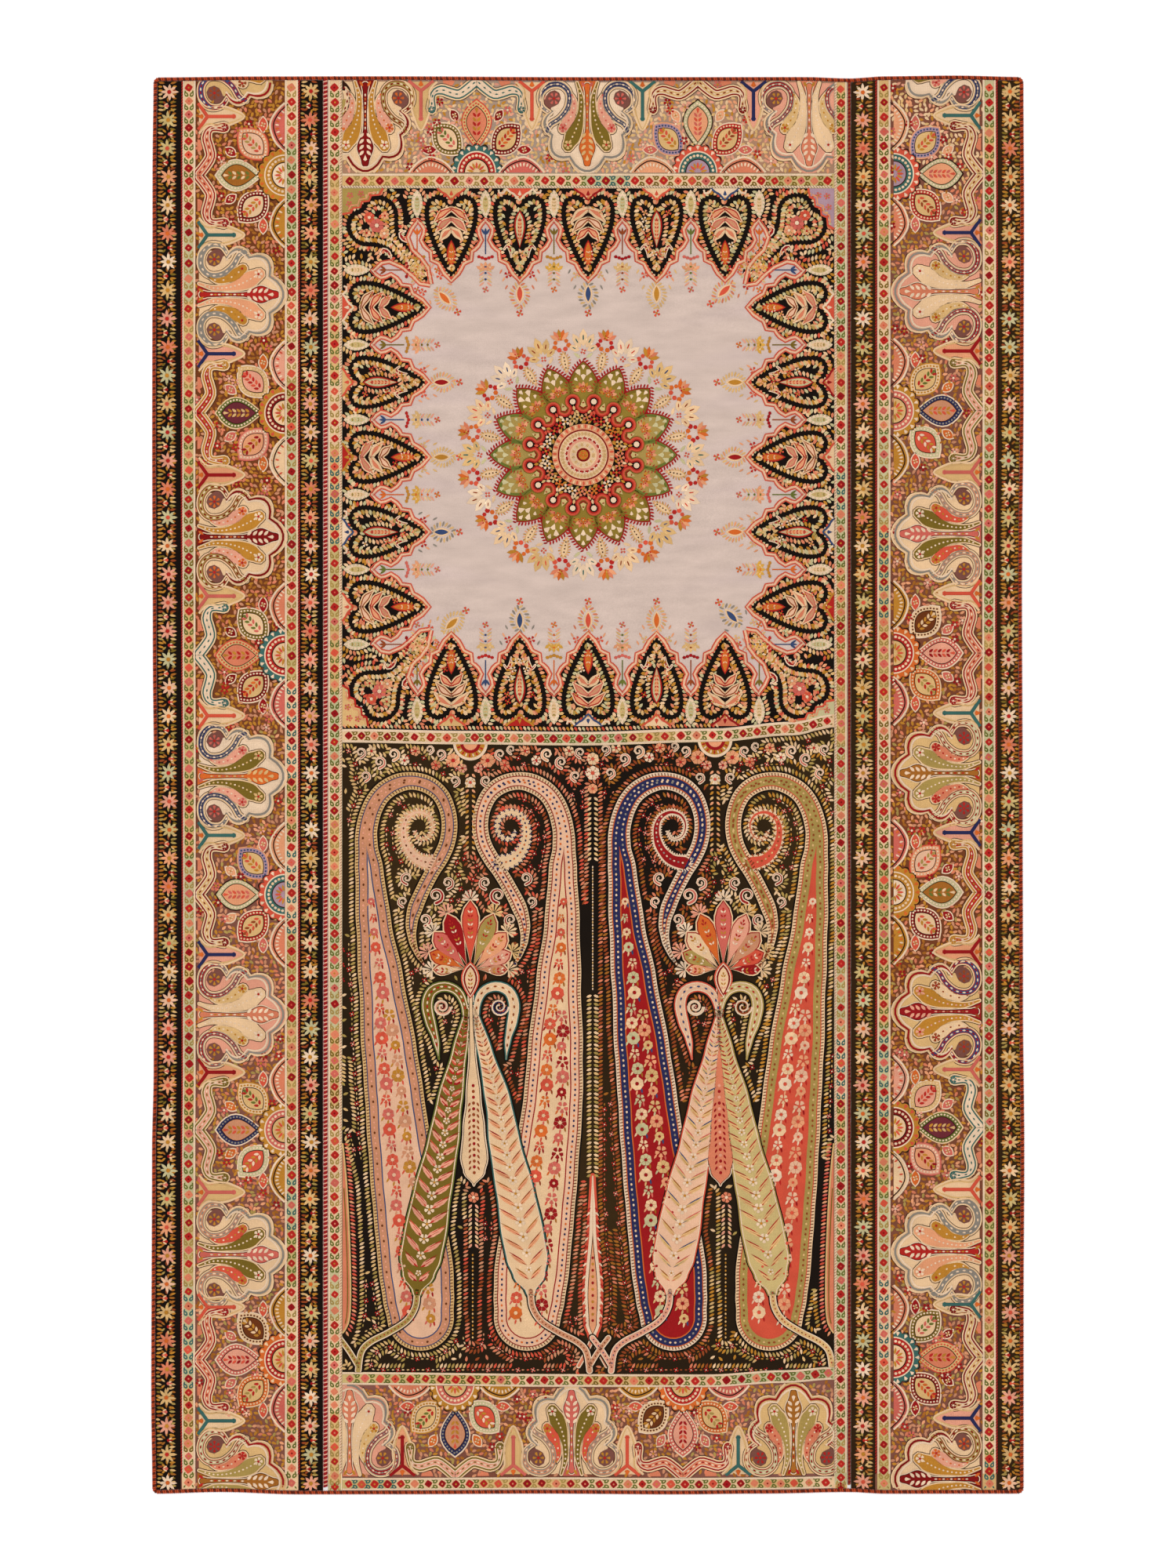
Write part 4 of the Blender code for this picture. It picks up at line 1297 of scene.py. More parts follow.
def workSpade(spot, kind, number):
    fold = curveThrough(spadeLine, 4.0)
    heart = fold + [(-u, v) for u, v in fold[-2:0:-1]]
    closed = heart + heart[:2]
    shape = limbShape(closed[::2], ((0, 3.4), (1, 3.4)))
    fillOn(spot, shape, "black", 1.6)
    for aside, lean, length, some in ((-5.8, 1.2, 7.4, medallionDyes["inner"][number % 3]),
                                      (5.8, -1.2, 7.0, medallionDyes["outer"])):
        trail(spot, shifted(closed, aside), 5.0, "leaf", length, 4.1, some, 2, 0, lean)
    for v, half in ((26, 20), (35, 21), (45, 20), (56, 17), (67, 13), (78, 8)):
        for sign in (-1, 1):
            stitchOn(spot, "leaf", sign * half, v, math.pi / 2 + sign * 0.7, 7.2, 3.8, rng.choice(medallionDyes["leaves"]), 2)
            if rng.random() < 0.5:
                posy(spot, sign * (half - 5), v + 5, 7.5, rng.choice(("red", "coral", "ivory", "peach")), "gold", 3, 4)
    if kind == 0:
        tints = (("peach", "red"), ("tan", "rose"), ("salmon", "cream"), ("blush", "rust"))
        for row, (top, spread, drop) in enumerate(((26, 21, 16), (39, 19, 16), (52, 14, 14))):
            outer, inner = tints[(row + number) % 4]
            for sign in (-1, 1):
                limb = [(0, top), (sign * spread * 0.5, top + drop * 0.35), (sign * spread, top + drop)]
                nested(spot, lambda trim: limbShape(limb, ((0, 7), (0.5, 11.5), (1, 4)), trim),
                       (("brownBlack", -1.0), ("cream", 0), (inner, 1.7), (outer, 3.2)), 3)
        nested(spot, lambda trim: leafShape((0, 100), (0, 66), 12, 0.45, trim),
               (("brownBlack", -1.2), ("red", 0), ("orange", 1.9)), 3)
        sprig(spot, (0, 92), (0, 74), ("cream", "gold"), 5, 3.4, 4.4)
    else:
        nested(spot, lambda trim: leafShape((0, 76), (0, 28), 14, 0.6, trim),
               (("brownBlack", -1.2), ("red", 0), ("mint", 1.9), ("peach", 4.4)), 3)
        sprig(spot, (0, 66), (0, 40), ("orange", "red"), 6, 3.4, 4.6)
        for sign in (-1, 1):
            hook = [(sign * 20, 78), (sign * 16, 73), (sign * 12, 78), (sign * 11, 88)]
            nested(spot, lambda trim: limbShape(hook, ((0, 3), (0.5, 5.4), (1, 2)), trim), (("ivory", 0), ("crimson", 1.4)), 3)
        trail(spot, [(0, 80), (0, 104)], 5.6, "leaf", 5.2, 2.8, ("straw", "peach"), 3, 3.2, 0.7, twin=True)
    outer, inner = medallionDyes["halves"][number % 6]
    low = curveThrough([(-18, 0), (-12, 5), (-8, 7), (-4, 11), (0, 15), (4, 11), (8, 7), (12, 5), (18, 0)], 3.0)
    fillOn(spot, low, inner, 3)
    rowOn(spot, low, outer, 2.6, 4)
    stitchOn(spot, "drop", 0, 6, math.pi / 2, 7, 5, outer, 4)
    if number % 3 == 1:
        for sign in (-1, 1):
            rowOn(spot, [(sign * u, v) for u, v in ((17, 1), (21, 6), (26, 6), (27, 2))], "ivory", 2.6, 4)


def workNiche(spot, number):
    # the white drop at the edge, and the small flower that stands in the niche under it
    drop = leafShape((0, 2), (0, 38), 14, 0.45)
    fillOn(spot, drop, "ivory", 3)
    trail(spot, drop, 2.7, "leaf", 3.6, 1.9, ("ivory", "mint"), 3, -1.0, -1.2, closed=True)
    fillOn(spot, leafShape((0, 9), (0, 32), 7.4, 0.45), ("mint", "paleGreen", "cream")[number % 3], 4)
    sprig(spot, (0, 28), (0, 14), ("straw", "sage"), 5, 3.0, 4.0)
    flower, crown = medallionDyes["niches"][number % 5]
    rowOn(spot, [(0, 56), (0, 84)], flower, 1.5, 2)
    for lean in (-0.6, 0.0, 0.6):
        stitchOn(spot, "leaf", 5 * math.sin(lean), 57 - 2 * math.cos(lean), lean - math.pi / 2, 10, 3, flower, 3)
    for k in range(-2, 3):
        stitchOn(spot, "dot", k * 4.2, 90 - 1.4 * abs(k), 0, 5.0, 4.4, crown, 3)
    for lean in (-1.0, -0.5, 0.0, 0.5, 1.0):
        stitchOn(spot, "leaf", 8 * math.sin(lean), 106 - 7 * math.cos(lean), lean - math.pi / 2 + math.pi, 12, 4.6,
                 ("straw", "peach", "yellow")[number % 3], 2)
    trail(spot, [(0, 98), (0, 124)], 4.4, "leaf", 8.4, 2.6, ("cream", "straw", "pink"), 2, 5.0, 0.9, twin=True)
    for v in (100, 108, 116):
        stitchOn(spot, "dot", 0, v, 0, 3.4, 3.0, flower, 4)
    posy(spot, 0, 129, 8, ("coral", "rose", "orange")[number % 3], "gold", 2, 4)


def workTipSprig(spot, number):
    core, comb = (("orange", "peach"), ("coral", "salmon"), ("blue", "greyBlue"), ("gold", "straw"), ("crimson", "peach"))[
        number % 5]
    nested(spot, lambda trim: leafShape((0, 122), (0, 147), 11, 0.5, trim), (("cream", 0), (core, 2.2)), 2)
    trail(spot, leafShape((0, 119), (0, 153), 21, 0.5), 4.2, "leaf", 7.4, 2.8, (comb, "straw"), 2, 0, -1.2, closed=True)
    for sign in (-1, 1):
        posy(spot, sign * 15, 110, 9, ("coral", "red", "straw")[number % 3], "pink", 2, 4)
        for v in (106, 116, 126):
            stitchOn(spot, "leaf", sign * (24 - 0.35 * (v - 106)), v, math.pi / 2 - sign * 0.5, 7, 2.4, ("peach", comb)[v % 4 // 2], 2)
    posy(spot, 0, 159, 9, "coral", "gold", 2, 4)


def workFrame(work):
    loop = []
    for number, side in enumerate(frameSides):
        (ux, uy), (vx, vy) = side["along"], side["across"]
        scale = side["scale"]
        pitch = (side["length"] - 2 * side["first"]) / 5
        middle = side["length"] / 2
        whole = spotAt(work, *side["from"], (ux, uy), (vx, vy))
        cornerScale = side["first"] / side["corner"][0][0]
        corner = [(u * cornerScale, v) for u, v in side["corner"]]
        corner[-1] = side["corner"][-1]
        contour = corner[::-1]
        for k in range(5):
            centre = middle + (k - 2) * pitch
            wide = pitch / 86
            half = [(centre + u * wide, v * scale) for u, v in frameHalf]
            contour += half + [(2 * centre - u, v) for u, v in half[-2::-1]]
        contour += [(side["length"] - u, v) for u, v in corner]
        fillOn(whole, [(0, -12), (side["length"], -12)] + contour[::-1], "black", 0.8, mark=False)
        loop += onDraft(whole, contour)
        for distance, dye, width in ((1.2, "coral", 1.6), (-1.2, "blush", 3.0), (-3.6, "coral", 1.6)):
            rowOn(whole, shifted(contour, distance), dye, width, 2)
        for k in range(6):
            place = side["first"] + k * pitch
            x, y = onDraft(whole, [(place, 0)])[0]
            workNiche(spotAt(work, x, y, (ux, uy), (vx * scale, vy * scale)), k + number)
        for k in range(5):
            x, y = onDraft(whole, [(middle + (k - 2) * pitch, 0)])[0]
            spot = spotAt(work, x, y, (ux, uy), (vx * scale, vy * scale))
            workSpade(spot, k % 2, k + number)
            if 0 < k < 4:
                workTipSprig(spot, k + 2 * number)
        workCorner(work, whole, number)
    markTaken(work, loop)


def workCorner(work, side, number):
    # a spade set askew in the corner, and the stepped patch behind it
    ground, outline = (("sage", "coral"), ("lilac", "coral"), ("mint", "coral"), ("straw", "red"))[number]
    patch = [(0, 0), (52, 0), (47, 8), (37, 9), (34, 16), (25, 17), (23, 24), (14, 25), (11, 31), (0, 33)]
    fillOn(side, patch, ground, 3)
    rowOn(side, patch[1:], outline, 2.8, 4)
    rowOn(side, [(u - 3, v - 3) for u, v in patch[2:-1]], "peach", 2.0, 4)
    for u, v in ((10, 9), (24, 7), (9, 20)):
        posy(side, u, v, 8, "rose", "gold", 4, 5)
    tip = onDraft(side, [(112, 120)])[0]
    x, y = onDraft(side, [(40, 43)])[0]
    length = math.hypot(tip[0] - x, tip[1] - y)
    vx, vy = (tip[0] - x) / length, (tip[1] - y) / length
    spot = spotAt(work, x, y, (vy, -vx), (vx, vy))
    line = [(0, -20), (14, -25), (27, -18), (33, -4), (30, 9), (21, 19), (14, 28), (9, 42), (7.5, 62), (5.5, 84), (0, 99)]
    fold = curveThrough(line, 4.0)
    heart = fold + [(-u, v) for u, v in fold[-2:0:-1]]
    fillOn(spot, limbShape((heart + heart[:2])[::2], ((0, 3.6), (1, 3.6))), "black", 1.6)
    for aside, lean, some in ((-5.8, 1.2, medallionDyes["inner"][number % 3]), (5.8, -1.2, medallionDyes["outer"]),
                              (-13.6, 1.2, ("salmon", "cream", "sage"))):
        trail(spot, shifted(heart + heart[:2], aside)[2:-2], 5.0, "leaf", 7.0, 4.0, some, 2, 0, lean)
    trail(spot, [(0, 34), (0, 96)], 5.4, "leaf", 5.4, 2.8, ("ivory", "straw", "peach"), 3, 3.0, 0.8, twin=True)
    for v, dye, size in ((-8, "coral", 13), (6, "rose", 17), (20, "peach", 12)):
        posy(spot, 0, v, size, dye, "ivory", 3, 7)
    for sign in (-1, 1):
        hook = [(sign * 22, 36), (sign * 15, 34), (sign * 13, 42), (sign * 16, 52)]
        nested(spot, lambda trim: limbShape(hook, ((0, 3), (0.5, 6.6), (1, 2)), trim), (("ivory", 0), ("crimson", 1.6)), 3)
        posy(spot, sign * 16, 4, 10, ("peach", "straw")[number % 2], "red", 3, 6)
    workTipSprig(spotAt(work, *onDraft(spot, [(0, -2)])[0], (vy, -vx), (vx, vy)), number)


rays = 16


def workMedallion(work, x, y):
    def around(k, part=0.0):
        turn = 2 * math.pi * (k + part) / rays
        return spotAt(work, x, y, (-math.sin(turn), math.cos(turn)), (math.cos(turn), math.sin(turn)))
    for k in range(rays):
        spot = around(k + 0.0)
        onSide = abs(math.cos(2 * math.pi * k / rays)) > 0.8
        leafDye = "leaf" if onSide else "olive"
        petal = leafShape((0, 58), (0, 121), 40, 0.45, 0, 9)
        fillOn(spot, petal, "crimson", 2)
        trail(spot, petal, 4.0, "leaf", 5.6, 2.5, ("red", "crimson"), 2, 2.2, 1.2, closed=True)
        fillOn(spot, leafShape((0, 58), (0, 121), 40, 0.45, 1.6, 9), leafDye, 3)
        fillOn(spot, leafShape((0, 58), (0, 121), 40, 0.45, 5.4, 9), "sage" if onSide else "moss", 3.6)
        for u, v, size in ((0, 112, 5.5), (-6, 105, 7.6), (6, 105, 7.6), (0, 99, 7.0), (-9, 96, 4.6), (9, 96, 4.6)):
            stitchOn(spot, "drop", u, v, math.pi / 2 - u * 0.08, size * 1.2, size, "mint" if onSide else "ivory", 5)
        for lean in (-1.5, -1.0, -0.5, 0.0, 0.5, 1.0, 1.5):
            stitchOn(spot, "leaf", 8 * math.sin(lean), 82 + 8 * math.cos(lean), math.pi / 2 - lean, 8, 4.4,
                     ("peach", "gold", "salmon")[(k + int(lean * 2)) % 3], 4)
            stitchOn(spot, "dot", 6 * math.sin(lean), 82 + 6 * math.cos(lean), 0, 2.2, 2.2, "red", 6)
        posy(spot, 0, 83, 7, "orange", "straw", 6, 5)
        outer = around(k)
        petals = ((0.0, 19, 23, 11), (-0.52, 17, 21, 10), (0.52, 17, 21, 10), (-1.15, 13, 16, 8.4), (1.15, 13, 16, 8.4))
        for lean, reach, length, width in petals:
            for part, dye, level in ((1.0, ("cream", "ivory", "straw")[k % 3], 2),
                                     (0.45, ("teal", "coral", "blue", "rust")[k % 4], 4)):
                stitchOn(outer, "leaf", reach * math.sin(lean), 131 + reach * math.cos(lean), math.pi / 2 - lean,
                         length * part, width * part ** 1.8, dye, level)
        for sign in (-1, 1):
            stitchOn(outer, "leaf", sign * 8, 127, math.pi / 2 - sign * 0.9, 11, 4.2, ("mint", "cream")[k % 2], 2)
        posy(outer, 0, 132, 7, "coral", "ivory", 4, 4)
        pod = around(k, 0.5)
        nested(pod, lambda trim: leafShape((0, 105), (0, 134), 10, 0.6, trim), (("straw", 0), ("cream", 1.4)), 2)
        trail(pod, leafShape((0, 107), (0, 134), 13, 0.6), 3.6, "leaf", 4.4, 1.7, ("peach", "gold"), 2, 0, -1.2, closed=True)
        trail(pod, [(0, 111), (0, 130)], 4.4, "dot", 2.2, 1.9, ("brownBlack",), 5)
        for sign in (-1, 1):
            for u, v, size in ((4, 137, 6.4), (9, 141, 6.8), (7, 147, 5.6)):
                stitchOn(pod, "dot", sign * u, v, 0, size, size, ("red", "coral", "orange")[(k + v) % 3], 2)
        for lean in (-0.9, -0.45, 0.0, 0.45, 0.9):
            stitchOn(pod, "leaf", 8 * math.sin(lean), 148 + 8 * math.cos(lean), math.pi / 2 - lean, 15, 6,
                     ("orange", "peach", "salmon", "gold")[(k + int(lean * 3)) % 4], 3)
        posy(pod, 0, 152, 7, ("red", "orange")[k % 2], "yellow", 4, 4)
    centre = spotAt(work, x, y)
    half = [(-0.196, 53.0), (-0.13, 54.0), (-0.07, 56.8), (-0.028, 62), (-0.05, 65.3), (-0.074, 69), (-0.056, 72.8)]
    keyhole = []
    for k in range(rays):
        for angle, radius in half + [(0.0, 74.4)] + [(-angle, radius) for angle, radius in half[:0:-1]]:
            turn = 2 * math.pi * (k + 0.5) / rays + angle
            keyhole.append((radius * math.cos(turn), radius * math.sin(turn)))
    meander = curveThrough(keyhole, 2.5, closed=True)
    fillOn(centre, discShape(0, 0, 86, step=6.0), "olive", 1.4)
    fillOn(centre, meander, "black", 5)
    ends = [meander[-1]] + meander + [meander[0]]
    for reach, dye, width in ((0.8, "red", 1.9), (3.0, "coral", 3.0), (5.0, "olive", 1.0)):
        rowOn(centre, shifted(ends, reach)[1:-1], dye, width, 6, closed=True)
    for k in range(rays):
        nested(around(k, 0.5), lambda trim: discShape(0, 69.2, 5.2 - trim, 0, 360, 3.0), (("black", 0), ("ivory", 1.5)), 8)
        stitchOn(around(k), "drop", 0, 66.0, -math.pi / 2, 11, 8, "paleGreen", 9)
        stitchOn(around(k), "dot", 0, 66.5, 0, 3.2, 2.6, "rust", 11)
        for part, reach, lean in ((0.5, 61, 1.57), (0.36, 55.5, 0.9), (0.64, 55.5, 2.2), (0.5, 53.5, 1.57), (0.1, 42, 0.6)):
            stitchOn(around(k, part), "leaf", 0, reach, lean, 6.4, 3.4, rng.choice(("gold", "cream", "coral", "straw")), 9)
        for part in (-0.25, 0.25):
            posy(around(k, part), 0, 48.0, 10, rng.choice(("straw", "ivory", "orange", "salmon", "red")), "gold", 9, 4)
            stitchOn(around(k, part), "leaf", 4, 42.5, 0.8, 6, 3, rng.choice(("gold", "peach", "sage")), 9)
    rings = ((39.5, "peach"), (32.5, "deepRed"), (30.6, "cream"), (23.6, "ivory"), (22.4, "crimson"), (20.6, "pink"),
             (17.2, "cream"), (8.8, "deepRed"), (6.2, "gold"))
    for i, (radius, dye) in enumerate(rings):
        fillOn(centre, discShape(0, 0, radius, step=3.0), dye, 9 + i * 0.6)
    for radius, pitch, kind, length, width, someDyes, lean in (
            (36.4, 4.2, "leaf", 6.0, 2.6, ("cream", "coral"), 1.57), (27.2, 4.3, "loop", 4.6, 3.4, ("straw",), 1.57),
            (21.6, 3.4, "bar", 3.2, 1.5, ("red", "ivory"), 1.2), (13.0, 3.6, "loop", 4.2, 3.0, ("straw", "ivory"), 1.57)):
        trail(centre, discShape(0, 0, radius, step=2.0), pitch, kind, length, width, someDyes, 14, 0, lean, closed=True)
    posy(centre, 0, 0, 9, "orange", "gold", 15, 5)


medallionWork = works["field_medallion"]
workFrame(medallionWork)
footLine = [(x, medallionWork["bottom"](x) - 0.4) for x in np.linspace(middleLeft + 0.4, middleRight - 0.4, 40)]
addFill(medallionWork, [(x, 904) for x, y in footLine] + footLine[::-1], "black", 0.8, mark=False)
trail(spotAt(medallionWork, 0, 0), [(x, y - 3.6) for x, y in footLine if y > 928.5], 5.0, "leaf", 6.4, 3.4,
      medallionDyes["outer"], 2, 0, 1.0)
workMedallion(medallionWork, 744, 580.5)


def isoLines(depth, level):
    # lines of equal distance, traced from cell to cell of the coarse grid
    above = (depth > level).astype(int)
    mixed = above[:-1, :-1] + above[:-1, 1:] + above[1:, :-1] + above[1:, 1:]
    links = {}
    for j, i in zip(*np.nonzero((mixed > 0) & (mixed < 4))):
        edges = ((j, i, 0), (j, i + 1, 1), (j + 1, i, 0), (j, i, 1))
        corners = (above[j, i], above[j, i + 1], above[j + 1, i + 1], above[j + 1, i])
        cut = [edges[k] for k in range(4) if corners[k] != corners[(k + 1) % 4]]
        for a, b in zip(cut[::2], cut[1::2]):
            links.setdefault(a, []).append(b)
            links.setdefault(b, []).append(a)

    def placeOf(edge):
        j, i, upright = edge
        first, second = depth[j, i], depth[j + 1, i] if upright else depth[j, i + 1]
        t = (level - first) / (second - first)
        return (i + (0 if upright else t), j + (t if upright else 0))
    lines, seen = [], set()
    for start in sorted(links, key=lambda edge: (len(links[edge]), edge)):
        if start in seen:
            continue
        walk, edge = [], start
        while edge is not None:
            seen.add(edge)
            walk.append(placeOf(edge))
            edge = next((other for other in links[edge] if other not in seen), None)
        lines.append(walk)
    return lines


def distanceTo(taken):
    # how far each cell of the coarse grid lies from the nearest motif, in draft units
    depth = np.where(taken, 0.0, 400.0)
    for step in range(70):
        for dj, di, cost in ((0, 1, 2.0), (1, 0, 2.0), (1, 1, 2.83), (1, -1, 2.83)):
            for sign in (1, -1):
                depth = np.minimum(depth, np.roll(depth, (dj * sign, di * sign), (0, 1)) + cost)
    for step in range(2):
        depth = (depth + (np.roll(depth, 1, 0) + np.roll(depth, -1, 0) + np.roll(depth, 1, 1) + np.roll(depth, -1, 1))) / 5
    return depth


def fillBareGround(work, box, depth, dyesAt, blossoms):
    # flowers and single leaves where the rows leave room
    left, right, top, bottom = box
    full = np.zeros(depth.shape, bool)
    for kind, x, y, *rest in work["stitches"]:
        j, i = int(y / 2) - top, int(x / 2) - left
        if 0 < j < full.shape[0] and 0 < i < full.shape[1]:
            full[j, i] = True
    room = np.minimum(distanceTo(full), depth + 2.5)
    slopeY, slopeX = np.gradient(depth)
    while room.max() > 7.4:
        j, i = np.unravel_index(room.argmax(), room.shape)
        x, y = (i + left + 0.5) * 2, (j + top + 0.5) * 2
        if room[j, i] > 11.0:
            posy(spotAt(work, x, y), 0, 0, 11.0, rng.choice(blossoms), "ivory", 2, 5)
        else:
            addStitch(work, "leaf", x, y, math.atan2(slopeY[j, i], slopeX[j, i]) + rng.choice((0.4, -0.4)), 7.4, 3.4,
                      rng.choice(dyesAt(x, y, 1)), 1)
        rows, columns = np.ogrid[:room.shape[0], :room.shape[1]]
        room = np.minimum(room, 2 * np.hypot(rows - j, columns - i) - 1.0)


def followOutlines(work, box, rowsAt, dyesAt, blossoms, size):
    # leaves set across lines that echo every outline, small flowers between two such lines, dark ground beyond
    left, right, top, bottom = (int(value / 2) for value in box)
    depth = distanceTo(work["taken"][top:bottom, left:right])
    slopeY, slopeX = np.gradient(depth)
    length, width, pitch = size

    def risesFrom(x, y, level):
        j, i = int(y / 2) - top, int(x / 2) - left
        steep = math.hypot(slopeX[j, i], slopeY[j, i]) or 1.0
        ahead = (min(max(round(v + s / steep * length * 0.3), 0), n - 1)
                 for v, s, n in ((j, slopeY[j, i], depth.shape[0]), (i, slopeX[j, i], depth.shape[1])))
        return depth[tuple(ahead)] > level + length * 0.22
    for level, lean in rowsAt:
        for walk in isoLines(depth, level):
            line = [((i + left + 0.5) * 2, (j + top + 0.5) * 2) for i, j in walk]
            for again in range(2):
                line = [line[0]] + [((a[0] + b[0] + c[0]) / 3, (a[1] + b[1] + c[1]) / 3)
                                    for a, b, c in zip(line, line[1:], line[2:])] + [line[-1]]
            for k, (x, y, angle) in enumerate(evenSteps(line, pitch if lean else pitch * 1.3, 2.0)):
                if not (left * 2 < x < right * 2 and top * 2 < y < bottom * 2) or (level > 6 and not risesFrom(x, y, level)):
                    continue
                if lean:
                    addStitch(work, "leaf", x, y, angle + lean, length, width, rng.choice(dyesAt(x, y, level)), 1)
                elif k % 3 == 1:
                    posy(spotAt(work, x, y), 0, 0, length * 0.8, rng.choice(blossoms), "ivory", 2, 4)
                else:
                    addStitch(work, "leaf", x, y, angle, length * 0.5, 1.9, rng.choice(dyesAt(x, y, 1)), 1)
    fillBareGround(work, (left, right, top, bottom), depth, dyesAt, blossoms)


# The paisley field is two pairs of tall botehs, each pair turned about an axis that leans a little.
pairTurns = [
    {"shift": 0, "axis": ((1067, 593.0), (1400, 604.5), (1726, 604.5))},
    {"shift": 322.5, "axis": ((1067, 915.5), (1340, 917.3), (1726, 920.5))},
]
bodyPlan = [  # x, y and width of the boteh's band, from the curled tail up over the arch and down the body
    (542, 1232, 2), (532, 1216, 6), (526, 1198, 10), (525, 1177, 15), (530, 1157, 19), (540, 1134, 18), (551, 1113, 18),
    (562, 1094, 20), (570, 1076, 20), (573.5, 1055, 20), (571, 1034, 20), (562, 1014, 21), (546, 1001, 22),
    (525, 996, 22), (505, 1000, 24), (487, 1012, 25), (475, 1031, 26), (468, 1056, 27), (467.5, 1080, 29),
    (471, 1110, 36), (477, 1180, 45), (486, 1250, 57), (496.5, 1340, 70), (503, 1397, 75), (509, 1455, 80),
    (518, 1520, 88), (524.5, 1570, 92), (530.7, 1620, 95), (534, 1655, 91), (536.5, 1680, 85)]
spiralPlan = [(551, 1101, 17), (533, 1096, 14), (519, 1080, 11), (514.5, 1060, 8.5), (519, 1044, 6.5), (532, 1036, 5),
              (546, 1040, 4), (552, 1053, 3), (547, 1067, 2.4), (535, 1070, 1.8), (529, 1061, 1)]
clubPlan = [(596, 1288, 9), (586.5, 1340, 20), (573.5, 1405, 33), (565, 1459, 41), (552, 1519, 49), (543, 1570, 55),
            (536.5, 1604, 54), (533.5, 1628, 42), (532, 1648, 14)]
dropPlan = [(605, 1244, 8), (604, 1300, 8), (604, 1340, 10), (603.5, 1400, 20), (604, 1440, 29), (604.5, 1478, 36),
            (604.5, 1496, 28), (604, 1512, 3)]
volutePlan = [(595, 1312, 9), (593, 1284, 10), (584, 1265, 12), (567, 1258, 13), (551, 1264, 14), (545, 1281, 15),
              (549, 1303, 14), (556, 1326, 9), (560, 1351, 2)]
stemLine = [(532, 1646), (530, 1666), (519, 1684), (496, 1699), (473, 1711), (461, 1724), (457, 1748)]
forkLine = [(433, 1706), (445, 1722), (456, 1740)]


def widthsOf(plan):
    # a plan of x, y and width, as a middle line and its widths by share of the length
    reach = [0.0]
    for a, b in zip(plan, plan[1:]):
        reach.append(reach[-1] + math.dist(a[:2], b[:2]))
    return [(x, y) for x, y, width in plan], [(r / reach[-1], width) for r, (x, y, width) in zip(reach, plan)]


def turnedPlan(plan, pair, mirror):
    ys, xs = zip(*pair["axis"])
    turned = []
    for x, y, *rest in plan:
        x += pair["shift"]
        turned.append((2 * float(np.interp(y, ys, xs)) - x if mirror else x, y, *rest))
    return turned


# Dyes: band, its dots, the toothed edge, the fine outline, the filling, its flowers, the club and its chevrons, the volute.
botehDyes = [
    {"band": "tan", "dots": ("pink", "brown", "pink"), "teeth": "straw", "line": "blue", "filling": "blush",
     "flowers": ("rose", "tan", "coral", "gold"), "club": "olive", "chevrons": ("red", "crimson", "coral"),
     "clubLine": "leaf", "heart": "ivory", "volute": "olive", "stem": "sage", "thick": 5.6, "rim": "pink",
     "leaves": ("straw", "sage", "cream", "straw"), "outer": ("coral", "salmon", "tan", "rust")},
    {"band": "blush", "dots": ("navy", "orange", "navy"), "teeth": "cream", "line": "crimson", "filling": "cream",
     "flowers": ("coral", "crimson", "orange", "rose"), "club": "cream", "chevrons": ("rust", "crimson", "golden"),
     "clubLine": "teal", "heart": "ivory", "volute": "peach", "stem": "tan", "thick": 3.4, "rim": "peach",
     "leaves": ("salmon", "coral", "tan", "rust"), "outer": ("rust", "salmon", "peach", "crimson")},
    {"band": "navy", "dots": ("ivory", "greyBlue", "cream"), "teeth": "ivory", "line": "orange", "filling": "crimson",
     "flowers": ("cream", "peach", "mint", "straw"), "club": "blush", "chevrons": ("blue", "rose", "golden"),
     "clubLine": "coral", "heart": "ivory", "volute": "peach", "stem": "pink", "thick": 3.0, "rim": "straw",
     "leaves": ("rust", "golden", "salmon", "rust"), "outer": ("coral", "rust", "peach", "gold")},
    {"band": "sage", "dots": ("rust", "straw", "rust"), "teeth": "cream", "line": "coral", "filling": "coral",
     "flowers": ("ivory", "peach", "cream", "blush"), "club": "paleGreen", "chevrons": ("red", "crimson", "red"),
     "clubLine": "sage", "heart": "ivory", "volute": "cream", "stem": "straw", "thick": 4.2, "rim": "straw",
     "leaves": ("straw", "sage", "cream", "gold"), "outer": ("rust", "golden", "coral", "salmon")},
]
dropDyes = [("cream", "crimson", "rust"), ("salmon", "pink", "crimson")]


def chevrons(spot, plan, dye, level):
    # pairs of bent leaves that open upward, each pair round a small flower, wider apart lower down
    centre, widths = widthsOf(plan)
    steps = evenSteps(curveThrough(centre, 4.0), 1.0, 0.0)
    place, k = 16.0, 0
    while place < len(steps) - 12:
        x, y, angle = steps[int(place)]
        half = smoothWidth(widths, place / len(steps)) / 2 - 3.0
        someDye = dye["chevrons"][k % 3]
        for side in (1, -1):
            for back, out, colour, thick in ((0.6, 0.52, dye["rim"], dye["thick"] + 2.0), (0.0, 0.5, someDye, dye["thick"]),
                                             (5.0, 0.62, dye["chevrons"][(k + 1) % 3], 1.7)):
                px = x - math.sin(angle) * half * out * side - math.cos(angle) * (half * 0.36 + back)
                py = y + math.cos(angle) * half * out * side - math.sin(angle) * (half * 0.36 + back)
                stitchOn(spot, "leaf", px, py, angle + side * 2.25, half * 1.12, min(thick, half * 0.5), colour, level)
        if half > 6:
            posy(spot, x - math.cos(angle) * half * 0.75, y - math.sin(angle) * half * 0.75, half * 0.5, dye["heart"],
                 "gold", level + 1, 5)
        place += 9.0 + half * 0.42
        k += 1


